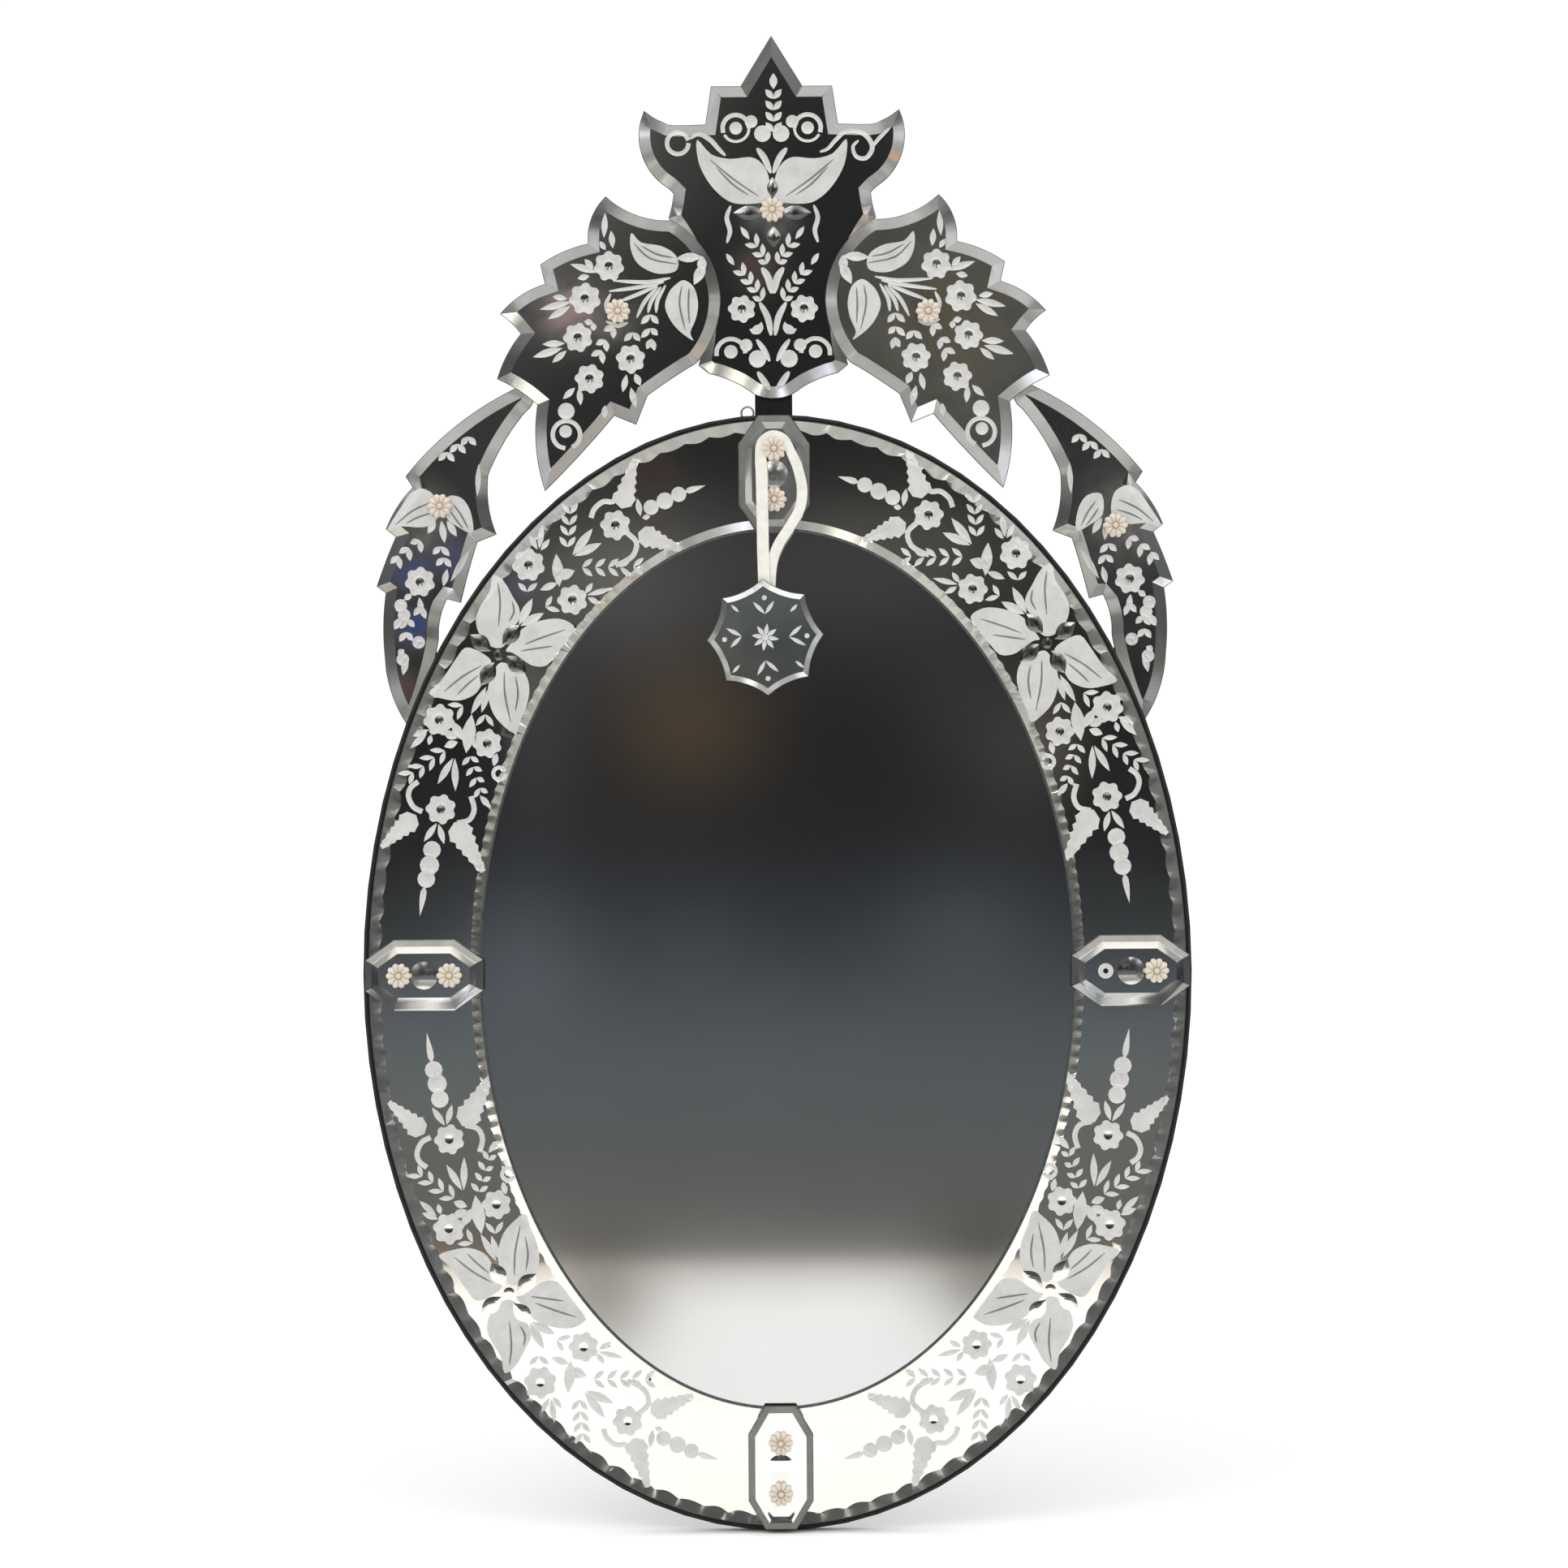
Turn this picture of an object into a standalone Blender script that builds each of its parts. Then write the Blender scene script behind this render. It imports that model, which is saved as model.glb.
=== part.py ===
"""Oval wall mirror with an engraved, bevelled mirror-glass border and a five-plate glass crest.

Metres, +Z up. The mirror faces -Y and its back lies against the wall plane y = 0.
The origin is the middle of the steel hanging plate on the back.
"""

import math

import bmesh
import bpy
import numpy as np
from mathutils.geometry import delaunay_2d_cdt

# Driving dimensions
OVAL_WIDTH = 0.640            # black-edged backing board, across
OVAL_HEIGHT = 0.862           # backing board, top to bottom
OPENING_WIDTH = 0.456         # centre mirror that shows inside the border
OPENING_HEIGHT = 0.676
OPENING_RISE = 0.003          # the opening sits a little above the board's middle
HANG_BELOW_TOP = 0.092        # hanging plate's middle, below the top of the oval

BOARD_THICKNESS = 0.0163
BATTEN_THICKNESS = 0.012
RIM_REVEAL = 0.004            # black edge that shows around the border glass
RIM_ROUND = 0.002
CENTRE_GLASS = 0.004
BORDER_GLASS = 0.005
CREST_GLASS = 0.005
COVER_GLASS = 0.005
PENDANT_GLASS = 0.004
GLASS_LAP = 0.008             # centre mirror hidden behind the border's inner edge

BORDER_BEVEL = 0.009
CREST_BEVEL = 0.009
COVER_BEVEL = 0.0105
PENDANT_BEVEL = 0.0045
BEVEL_EDGE = 0.0022           # glass left standing at a bevel's thin edge

COVER_LENGTH = 0.091          # side and top cover plates
COVER_WIDTH = 0.055
BOTTOM_COVER_LENGTH = 0.095
BOTTOM_COVER_WIDTH = 0.050
COVER_END = 0.024             # straight end of a cover plate
COVER_SIDE = 0.047            # straight long side of a cover plate
LENS_RADIUS = 0.0105          # round hollow ground in the middle of a cover plate
LENS_DEPTH = 0.0010
SCREW_HOLE = 0.0035           # bare hole where one rosette is lost

ROSETTE_RADIUS = 0.0098
ROSETTE_HEIGHT = 0.0060
ROSETTE_NECK = 0.0045
ROSETTE_NECK_HEIGHT = 0.0022
ROSETTE_PETALS = 8
ROSETTE_STEP = 0.0195         # from a cover plate's middle to each of its rosettes

STRUT_WIDTH = 0.029
STRUT_RISE = 0.185            # strut's top, above the oval
CREST_BATTEN_RISE = 0.080     # cross batten that carries the two leaf plates
CREST_BATTEN_HEIGHT = 0.022
CREST_BATTEN_REACH = 0.138
LEAF_PAD_REACH = 0.066        # inner end of the pads behind the leaf plates
HANG_BATTEN_LENGTH = 0.300
HANG_BATTEN_HEIGHT = 0.060
LOW_BATTEN_HEIGHT = 0.040
LOW_BATTEN_DROP = 0.270       # below the oval's middle
HANGER_LENGTH = 0.120
HANGER_HEIGHT = 0.036
HANGER_PLATE = 0.002
KEYHOLE_STEP = 0.042          # from the plate's middle to each keyhole
KEYHOLE_HEAD = 0.0052         # radius of the round part of a keyhole
KEYHOLE_SLOT = 0.0026         # radius of the narrow part
KEYHOLE_RISE = 0.0080         # from the keyhole's middle to the end arc of its slot
POCKET_DEPTH = 0.0085         # room in the batten for the heads of the wall screws
WIRE_EYE_RADIUS = 0.0048
WIRE_RADIUS = 0.0009

PENDANT_RADIUS = 0.0448
PENDANT_DROP = 0.1455         # pendant's middle, below the rosette it hangs on
PENDANT_SHIFT = -0.0075
PENDANT_TURN = math.radians(2.5)
PENDANT_HOLLOW = 0.0026       # how far each of its eight sides curves in
RIBBON_WIDTH = 0.009
RIBBON_THICKNESS = 0.0008

CLEARANCE = 0.0003            # between pieces that touch
JOINT_GAP = 0.0006            # between neighbouring border plates
ARC_STEP = 0.0085             # length of the straight runs that stand for an arc
OVAL_SIDES = 80

# Depths, from the wall towards the viewer
HANGER_FRONT = -HANGER_PLATE
BATTEN_BACK = HANGER_FRONT - CLEARANCE
BATTEN_FRONT = BATTEN_BACK - BATTEN_THICKNESS
BOARD_BACK = BATTEN_FRONT - CLEARANCE
BOARD_FRONT = BOARD_BACK - BOARD_THICKNESS
RECESS_FLOOR = BOARD_FRONT + CENTRE_GLASS + CLEARANCE
CENTRE_BACK = RECESS_FLOOR - CLEARANCE
BORDER_BACK = BOARD_FRONT - CLEARANCE
BORDER_FRONT = BORDER_BACK - BORDER_GLASS
COVER_BACK = BORDER_FRONT - CLEARANCE
COVER_FRONT = COVER_BACK - COVER_GLASS
CREST_BACK = BATTEN_FRONT - CLEARANCE
CREST_FRONT = CREST_BACK - CREST_GLASS
LEAF_BACK = CREST_FRONT - CLEARANCE
LEAF_FRONT = LEAF_BACK - CREST_GLASS
WING_FRONT = BOARD_BACK + CLEARANCE
WING_BACK = WING_FRONT + CREST_GLASS

# Heights
OVAL_TOP = HANG_BELOW_TOP
OVAL_MIDDLE = OVAL_TOP - OVAL_HEIGHT / 2
OPENING_MIDDLE = OVAL_MIDDLE + OPENING_RISE

# The crest's free outlines were drawn for an oval of this size, and stretch with the oval.
# Each corner is (across, above the oval's top, bulge of the arc to the next corner) in
# millimetres; a positive bulge swells outwards. Left-hand shapes run counterclockwise.
DRAWN_WIDTH = 640.0
DRAWN_HEIGHT = 862.0
CENTRE_HALF = [
    (0.0, 295.0, 0.0), (-24.0, 256.0, 0.0), (-47.0, 256.0, 0.0), (-51.5, 226.5, 0.0),
    (-76.5, 226.0, -1.5), (-99.0, 237.5, 12.0), (-80.5, 177.0, 0.0), (-76.5, 173.0, -0.5),
    (-80.5, 154.0, -14.0), (-58.0, 39.5, 2.0), (-40.5, 30.5, 0.0), (-26.5, 24.5, 0.0),
    (-15.0, 17.0, 1.0), (0.0, 13.5, 0.0),
]
LEAF_CORNERS = [
    (-129.0, 170.5, 4.5), (-143.0, 134.0, 2.0), (-180.0, 118.0, 0.0), (-176.5, 103.0, 3.0),
    (-211.5, 80.0, -1.0), (-195.5, 64.5, 2.0), (-214.0, 29.5, -1.5), (-183.0, 9.5, 4.0),
    (-177.5, -57.5, 1.0), (-123.5, 0.5, 0.0), (-106.5, -6.5, 0.0), (-97.5, 16.0, -0.5),
    (-59.5, 41.0, 5.0), (-40.5, 91.0, 9.0), (-77.5, 151.5, -5.5),
]
WING_CORNERS = [
    (-180.0, 32.0, 9.0), (-286.5, -44.5, 0.0), (-281.0, -53.0, 2.0), (-302.0, -85.5, 0.0),
    (-294.5, -91.5, 0.5), (-309.5, -130.0, 0.0), (-302.5, -135.0, 1.5), (-303.5, -185.5, 4.5),
    (-283.5, -242.0, 2.5), (-261.5, -171.0, -2.0), (-255.0, -140.0, 0.0), (-244.0, -143.0, -0.5),
    (-231.0, -96.0, 0.0), (-216.0, -90.0, -3.0), (-222.0, -43.5, -3.0), (-187.5, 11.0, 0.0),
]
WING_BOARD_CORNERS = [
    (-247.5, -26.5, 0.0), (-266.5, -54.0, 0.0), (-282.0, -79.0, 1.0), (-294.0, -141.5, 0.0),
    (-295.0, -173.0, 1.0), (-276.0, -245.0, 0.0), (-244.5, -245.0, 0.0), (-255.0, -195.0, 0.0),
    (-268.5, -173.0, -0.5), (-265.0, -143.0, 0.0), (-246.5, -110.5, 1.0), (-231.5, -79.0, 0.0),
    (-229.0, -40.5, 0.0),
]
CREST_ROSETTES = {
    "rosette_crest": (0.0, 159.5, CREST_FRONT),
    "rosette_leaf_left": (-120.0, 81.0, LEAF_FRONT),
    "rosette_leaf_right": (120.0, 79.5, LEAF_FRONT),
    "rosette_wing_left": (-259.5, -68.0, WING_FRONT),
    "rosette_wing_right": (264.5, -86.5, WING_FRONT),
}
# The ribbon's left run, loop and right run: (across, above the top rosette, forward of
# the cover plate) in millimetres. It starts and ends behind the pendant's top point.
RIBBON_ROUTE = [
    (-8.0, -109.0, 8.0), (-8.4, -96.0, 8.0), (-8.8, -80.0, 8.0), (-9.0, -62.0, 8.0),
    (-9.2, -45.0, 8.0), (-9.4, -30.0, 7.4), (-9.7, -17.0, 4.6), (-10.2, -6.0, 1.9),
    (-9.2, 4.6, 1.1), (-1.2, 10.6, 1.1), (7.8, 7.4, 1.1), (13.6, -4.0, 1.9),
    (18.8, -17.0, 4.0), (21.6, -33.0, 5.6), (19.4, -47.0, 6.4), (11.6, -61.0, 6.7),
    (3.2, -74.0, 6.7), (-2.2, -89.0, 6.7), (-4.2, -109.0, 6.7),
]

PARTS = "venetian_wall_mirror"
CUTTERS = "cutters"


def clear_scene():
    for found in list(bpy.data.objects):
        bpy.data.objects.remove(found, do_unlink=True)
    for name in (PARTS, CUTTERS):
        bpy.context.scene.collection.children.link(bpy.data.collections.new(name))


def material(name, colour, roughness, metallic=0.0):
    made = bpy.data.materials.new(name)
    made.use_nodes = True
    shader = made.node_tree.nodes["Principled BSDF"]
    shader.inputs["Base Color"].default_value = (*colour, 1.0)
    shader.inputs["Roughness"].default_value = roughness
    shader.inputs["Metallic"].default_value = metallic
    return made


def make_materials():
    return {
        "mirror": material("mirror_glass", (0.80, 0.81, 0.80), 0.03, 1.0),
        "border": material("border_mirror", (0.76, 0.77, 0.76), 0.04, 1.0),
        "crest": material("crest_mirror", (0.74, 0.75, 0.74), 0.05, 1.0),
        "cover": material("cover_mirror", (0.78, 0.79, 0.77), 0.04, 1.0),
        "pendant": material("pendant_mirror", (0.70, 0.74, 0.73), 0.04, 1.0),
        "board": material("black_board", (0.012, 0.012, 0.013), 0.55),
        "batten": material("stained_wood", (0.09, 0.055, 0.035), 0.70),
        "rosette": material("rosette_glass", (0.76, 0.66, 0.54), 0.35),
        "ribbon": material("ribbon_cloth", (0.86, 0.82, 0.74), 0.90),
        "steel": material("hanger_steel", (0.56, 0.57, 0.58), 0.35, 1.0),
    }


def show(name, mesh, finish, smooth=False):
    mesh.materials.clear()
    mesh.materials.append(finish)
    if smooth:
        mesh.shade_smooth()
        mesh.set_sharp_from_angle(angle=math.radians(35))
    made = bpy.data.objects.new(name, mesh)
    bpy.data.collections[PARTS].objects.link(made)
    return made


def mesh_of(name, build):
    """A mesh from build(bm), with its normals pointing out."""
    bm = bmesh.new()
    build(bm)
    bmesh.ops.recalc_face_normals(bm, faces=bm.faces)
    mesh = bpy.data.meshes.new(name)
    bm.to_mesh(mesh)
    bm.free()
    return mesh


def box_mesh(name, low, high):
    """An axis-aligned block between two corners."""
    def build(bm):
        bmesh.ops.create_cube(bm, size=1.0)
        for vert in bm.verts:
            for axis in range(3):
                vert.co[axis] = high[axis] if vert.co[axis] > 0 else low[axis]
    return mesh_of(name, build)


def box(name, low, high, finish):
    return show(name, box_mesh(name, low, high), finish)


def cut_out(target, name, mesh):
    """Takes the volume inside a mesh out of a piece."""
    cutter = bpy.data.objects.new(name, mesh)
    bpy.data.collections[CUTTERS].objects.link(cutter)
    cutter.hide_render = True
    cutter.display_type = "WIRE"
    cut = target.modifiers.new(name, "BOOLEAN")
    cut.operation = "DIFFERENCE"
    cut.object = cutter


# Outlines: lists of (x, z) points, counterclockwise with +Z up

def ellipse(half_width, half_height, middle, sides=OVAL_SIDES):
    turns = [2 * math.pi * i / sides for i in range(sides)]
    return [(half_width * math.cos(a), middle + half_height * math.sin(a)) for a in turns]


def arc(start, end, bulge, step=ARC_STEP):
    """Points from start up to, but not at, end, on the arc that swells by bulge."""
    (x0, z0), (x1, z1) = start, end
    length = math.hypot(x1 - x0, z1 - z0)
    if abs(bulge) < length * 0.01:
        return [start]
    runs = max(2, round(length / step))
    radius = (length ** 2 / 4 + bulge ** 2) / (2 * abs(bulge))
    half = math.asin(min(1.0, length / 2 / radius))
    along = ((x1 - x0) / length, (z1 - z0) / length)
    out = (along[1], -along[0])
    made = []
    for i in range(runs):
        angle = -half + 2 * half * i / runs
        u = radius * math.sin(angle) + length / 2
        v = math.copysign(radius * (math.cos(angle) - math.cos(half)), bulge)
        made.append((x0 + along[0] * u + out[0] * v, z0 + along[1] * u + out[1] * v))
    return made


def crest_place(across, above):
    """A drawn crest point, in millimetres, as metres on this mirror."""
    return (
        across / DRAWN_WIDTH * OVAL_WIDTH,
        OVAL_TOP + above / DRAWN_HEIGHT * OVAL_HEIGHT,
    )


def crest_outline(corners):
    scale = OVAL_WIDTH / DRAWN_WIDTH
    places = [crest_place(x, z) for x, z, _ in corners]
    made = []
    for i, (_, _, bulge) in enumerate(corners):
        made += arc(places[i], places[(i + 1) % len(places)], bulge * scale)
    return made


def mirrored(loop):
    return [(-x, z) for x, z in reversed(loop)]


def both_halves(corners):
    """A left half, drawn from top to bottom, and its mirror image back up to the top."""
    back = [
        (-x, z, corners[len(corners) - 2 - i][2])
        for i, (x, z, _) in enumerate(reversed(corners))
        if i < len(corners) - 1
    ]
    return corners[:-1] + back


def octagon(length, width, side, end):
    """A long octagon about the origin, its length along X."""
    a, b, s, e = length / 2, width / 2, side / 2, end / 2
    return [(a, -e), (a, e), (s, b), (-s, b), (-a, e), (-a, -e), (-s, -b), (s, -b)]


def moved(loop, x, z, turn=0.0):
    c, s = math.cos(turn), math.sin(turn)
    return [(x + c * px - s * pz, z + s * px + c * pz) for px, pz in loop]


def resampled(loop, step):
    made = []
    for (x0, z0), (x1, z1) in zip(loop, loop[1:] + loop[:1]):
        runs = max(1, round(math.hypot(x1 - x0, z1 - z0) / step))
        made += [(x0 + (x1 - x0) * i / runs, z0 + (z1 - z0) * i / runs) for i in range(runs)]
    return made


def distances(points, loop):
    """How far each point is from a closed loop."""
    p = np.array(points)[:, None, :]
    a = np.array(loop)[None, :, :]
    run = np.roll(a, -1, axis=1) - a
    share = np.clip(((p - a) * run).sum(2) / (run ** 2).sum(2), 0.0, 1.0)
    return np.linalg.norm(p - (a + share[..., None] * run), axis=2).min(1)


def thinned(points, slack):
    """Douglas and Peucker's rule on an open run of points."""
    if len(points) < 3:
        return points
    a, b = np.array(points[0]), np.array(points[-1])
    run = b - a
    length = np.linalg.norm(run)
    rest = np.array(points[1:-1]) - a
    if length < 1e-9:
        off = np.linalg.norm(rest, axis=1)
    else:
        off = np.abs(rest[:, 0] * run[1] - rest[:, 1] * run[0]) / length
    worst = int(off.argmax())
    if off[worst] < slack:
        return [points[0], points[-1]]
    cut = worst + 1
    return thinned(points[:cut + 1], slack)[:-1] + thinned(points[cut:], slack)


def crossing(a, b, c, d):
    def side(p, q, r):
        return (q[0] - p[0]) * (r[1] - p[1]) - (q[1] - p[1]) * (r[0] - p[0])
    return side(a, b, c) * side(a, b, d) < 0 and side(c, d, a) * side(c, d, b) < 0


def untied(loop):
    """A loop without the small knots that trimming can leave at a tooth's tip."""
    longest_knot = 5
    for i in range(len(loop)):
        turned = loop[i:] + loop[:i]
        for j in range(2, longest_knot):
            if crossing(*turned[:2], *turned[j:j + 2]):
                knot = turned[1:j + 1]
                middle = tuple(sum(p[k] for p in knot) / len(knot) for k in range(2))
                return untied([turned[0], middle] + turned[j + 1:])
    return loop


def inset(loop, width, slack=0.00015):
    """The line that a bevel of this width leaves inside a loop, cleaned in its teeth."""
    fine = resampled(loop, width / 12)
    count = len(fine)
    raw = []
    for i, (x, z) in enumerate(fine):
        before, after = np.array(fine[i - 1]), np.array(fine[(i + 1) % count])
        here = np.array((x, z))
        d0, d1 = here - before, after - here
        n0 = np.array((-d0[1], d0[0])) / np.linalg.norm(d0)
        n1 = np.array((-d1[1], d1[0])) / np.linalg.norm(d1)
        opens = n0[0] * n1[1] - n0[1] * n1[0] < -0.02
        if opens:
            middle = (n0 + n1) / max(1e-9, np.linalg.norm(n0 + n1))
            reach = width / max(0.35, float(middle @ n0))
            raw += [here + n0 * width, here + middle * reach, here + n1 * width]
        else:
            raw += [here + n0 * width, here + n1 * width]
    kept = [tuple(p) for p, far in zip(raw, distances(raw, loop)) if far > width * 0.995]
    start = max(range(len(kept)), key=lambda i: kept[i][1])
    kept = kept[start:] + kept[:start]
    thin = thinned(kept + kept[:1], slack)[:-1]
    apart = slack * 2
    return untied([
        p for p, q in zip(thin, thin[1:] + thin[:1])
        if math.hypot(p[0] - q[0], p[1] - q[1]) > apart
    ])


def inside(point, loop):
    x, z = point
    hit = False
    for (x0, z0), (x1, z1) in zip(loop, loop[1:] + loop[:1]):
        if (z0 > z) != (z1 > z) and x < (x1 - x0) * (z - z0) / (z1 - z0) + x0:
            hit = not hit
    return hit


# Pieces

def plate_mesh(name, loop, back, thickness, bevel, lenses=()):
    """A glass plate with a ground bevel all round its front and round hollows in it."""
    front = back - thickness
    rings = [(loop, back - BEVEL_EDGE), (inset(loop, bevel), front)]
    for x, z, radius, depth in lenses:
        for share in (1.0, 0.62, 0.22):
            ring = ellipse(radius * share, radius * share, 0.0, 14)
            rings.append((moved(ring, x, z), front + depth * (1 - share ** 2)))
    coords = [point for ring, _ in rings for point in ring]
    depths = [depth for ring, depth in rings for _ in ring]
    edges = []
    for ring, _ in rings:
        first = len(edges)
        edges += [(first + i, first + (i + 1) % len(ring)) for i in range(len(ring))]
    found = delaunay_2d_cdt(coords, edges, [], 0, 1e-7)
    out_coords, _, out_faces, origins = found[:4]
    count = len(loop)

    def build(bm):
        verts = [
            bm.verts.new((p.x, depths[origins[i][0]], p.y))
            for i, p in enumerate(out_coords)
        ]
        at = {source: i for i, group in enumerate(origins) for source in group}
        for face in out_faces:
            middle = sum((out_coords[i] for i in face[1:]), out_coords[face[0]].copy()) / 3
            if inside(middle, loop):
                bm.faces.new([verts[i] for i in face])
        rim = [verts[at[i]] for i in range(count)]
        rear = [bm.verts.new((x, back, z)) for x, z in loop]
        for i in range(count):
            j = (i + 1) % count
            bm.faces.new((rim[i], rim[j], rear[j], rear[i]))
        cap = bm.faces.new(rear)
        cap.normal_update()
        bmesh.ops.triangulate(bm, faces=[cap])
    return mesh_of(name, build)


def slab(name, loop, back, front, finish):
    """A flat board of any outline, as a filled 2D curve."""
    curve = bpy.data.curves.new(name, "CURVE")
    curve.dimensions = "2D"
    curve.fill_mode = "BOTH"
    curve.extrude = (back - front) / 2
    line = curve.splines.new("POLY")
    line.points.add(len(loop) - 1)
    for point, (x, z) in zip(line.points, loop):
        point.co = (x, z, 0.0, 1.0)
    line.use_cyclic_u = True
    made = bpy.data.objects.new(name, curve)
    curve.materials.append(finish)
    bpy.data.collections[PARTS].objects.link(made)
    made.rotation_euler = (math.pi / 2, 0.0, 0.0)
    made.location.y = (back + front) / 2
    return made


def shell_mesh(name, rings):
    """A solid from rings (loop, y) of equal counts, the first and last of them capped."""
    def build(bm):
        rows = [[bm.verts.new((x, y, z)) for x, z in loop] for loop, y in rings]
        for a, b in zip(rows, rows[1:]):
            for i in range(len(a)):
                j = (i + 1) % len(a)
                bm.faces.new((a[i], a[j], b[j], b[i]))
        bm.faces.new(rows[0])
        bm.faces.new(rows[-1])
    return mesh_of(name, build)


def backing_board(finish):
    half_w, half_h = OVAL_WIDTH / 2, OVAL_HEIGHT / 2
    recess_w = OPENING_WIDTH / 2 + GLASS_LAP + CLEARANCE
    recess_h = OPENING_HEIGHT / 2 + GLASS_LAP + CLEARANCE
    rings = [
        (ellipse(half_w, half_h, OVAL_MIDDLE), BOARD_BACK),
        (ellipse(half_w, half_h, OVAL_MIDDLE), BOARD_FRONT + RIM_ROUND),
        (ellipse(half_w - RIM_ROUND, half_h - RIM_ROUND, OVAL_MIDDLE), BOARD_FRONT),
        (ellipse(recess_w, recess_h, OPENING_MIDDLE), BOARD_FRONT),
        (ellipse(recess_w, recess_h, OPENING_MIDDLE), RECESS_FLOOR),
    ]
    return show("backing_board", shell_mesh("backing_board", rings), finish, smooth=True)


def centre_mirror(finish):
    loop = ellipse(OPENING_WIDTH / 2 + GLASS_LAP, OPENING_HEIGHT / 2 + GLASS_LAP, OPENING_MIDDLE)
    mesh = shell_mesh("centre_mirror", [(loop, CENTRE_BACK), (loop, BOARD_FRONT)])
    return show("centre_mirror", mesh, finish, smooth=True)


def oval_point(half_w, half_h, middle, angle, inwards=0.0):
    """A point on an ellipse, or that far inside it along its normal."""
    x, z = half_w * math.cos(angle), half_h * math.sin(angle)
    nx, nz = math.cos(angle) / half_w, math.sin(angle) / half_h
    size = math.hypot(nx, nz)
    return x - inwards * nx / size, middle + z - inwards * nz / size


def border_segment(name, quarter, finish):
    """One quarter of the border: bevelled along its outer and inner edges only."""
    outer = (OVAL_WIDTH / 2 - RIM_REVEAL, OVAL_HEIGHT / 2 - RIM_REVEAL, OVAL_MIDDLE)
    inner = (OPENING_WIDTH / 2, OPENING_HEIGHT / 2, OPENING_MIDDLE)
    steps = OVAL_SIDES // 4
    shift_x = math.copysign(JOINT_GAP / 2, math.cos((quarter + 0.5) * math.pi / 2))
    shift_z = math.copysign(JOINT_GAP / 2, math.sin((quarter + 0.5) * math.pi / 2))
    edge = BORDER_BACK - BEVEL_EDGE

    def build(bm):
        rows = []
        for i in range(steps + 1):
            angle = (quarter + i / steps) * math.pi / 2
            across = [
                (*oval_point(*outer, angle), BORDER_BACK),
                (*oval_point(*outer, angle), edge),
                (*oval_point(*outer, angle, BORDER_BEVEL), BORDER_FRONT),
                (*oval_point(*inner, angle, -BORDER_BEVEL), BORDER_FRONT),
                (*oval_point(*inner, angle), edge),
                (*oval_point(*inner, angle), BORDER_BACK),
            ]
            rows.append([bm.verts.new((x + shift_x, y, z + shift_z)) for x, z, y in across])
        for a, b in zip(rows, rows[1:]):
            for i in range(len(a)):
                j = (i + 1) % len(a)
                bm.faces.new((a[i], a[j], b[j], b[i]))
        bm.faces.new(rows[0])
        bm.faces.new(rows[-1])
    return show(name, mesh_of(name, build), finish)


def cover_places():
    """Each cover plate: its middle, length, width and turn."""
    def band_middle(outer_half, inner_half, rise):
        return (outer_half - RIM_REVEAL + inner_half + rise) / 2
    side = band_middle(OVAL_WIDTH / 2, OPENING_WIDTH / 2, 0.0)
    top = band_middle(OVAL_HEIGHT / 2, OPENING_HEIGHT / 2, OPENING_RISE)
    low = band_middle(OVAL_HEIGHT / 2, OPENING_HEIGHT / 2, -OPENING_RISE)
    upright = math.pi / 2
    return {
        "top": (0.0, OVAL_MIDDLE + top, COVER_LENGTH, COVER_WIDTH, upright),
        "left": (-side, OVAL_MIDDLE, COVER_LENGTH, COVER_WIDTH, 0.0),
        "right": (side, OVAL_MIDDLE, COVER_LENGTH, COVER_WIDTH, 0.0),
        "bottom": (0.0, OVAL_MIDDLE - low, BOTTOM_COVER_LENGTH, BOTTOM_COVER_WIDTH, upright),
    }


def cover_plate(name, place, finish):
    x, z, length, width, turn = place
    ends = length - COVER_LENGTH
    loop = moved(octagon(length, width, COVER_SIDE + ends, COVER_END), x, z, turn)
    lens = (x, z, LENS_RADIUS, LENS_DEPTH)
    return show(name, plate_mesh(name, loop, COVER_BACK, COVER_GLASS, COVER_BEVEL, [lens]), finish)


def drill(target, x, z, radius, front, back):
    """Bores a round hole through a plate."""
    over = 0.002
    circle = moved(ellipse(radius, radius, 0.0, 12), x, z)
    cut_out(target, target.name + "_drill",
            shell_mesh("drill", [(circle, back + over), (circle, front - over)]))


def rosette(name, x, z, on, finish):
    """A moulded glass flower on a neck, standing on the plate face at depth on."""
    sides = ROSETTE_PETALS * 3
    back = on - CLEARANCE

    def ring(radius, petal, y):
        made = []
        for i in range(sides):
            angle = 2 * math.pi * i / sides
            lobe = 1.0 - petal * (1.0 if i % 3 == 0 else 0.0)
            made.append((x + radius * lobe * math.cos(angle), y, z + radius * lobe * math.sin(angle)))
        return made

    rows = [
        ring(ROSETTE_NECK, 0.0, back),
        ring(ROSETTE_NECK, 0.0, back - ROSETTE_NECK_HEIGHT),
        ring(ROSETTE_RADIUS, 0.14, back - ROSETTE_HEIGHT * 0.55),
        ring(ROSETTE_RADIUS * 0.55, 0.10, back - ROSETTE_HEIGHT),
    ]

    def build(bm):
        made = [[bm.verts.new(point) for point in row] for row in rows]
        for a, b in zip(made, made[1:]):
            for i in range(sides):
                j = (i + 1) % sides
                bm.faces.new((a[i], a[j], b[j], b[i]))
        bm.faces.new(made[0])
        bm.faces.new(made[-1])
    return show(name, mesh_of(name, build), finish)


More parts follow.
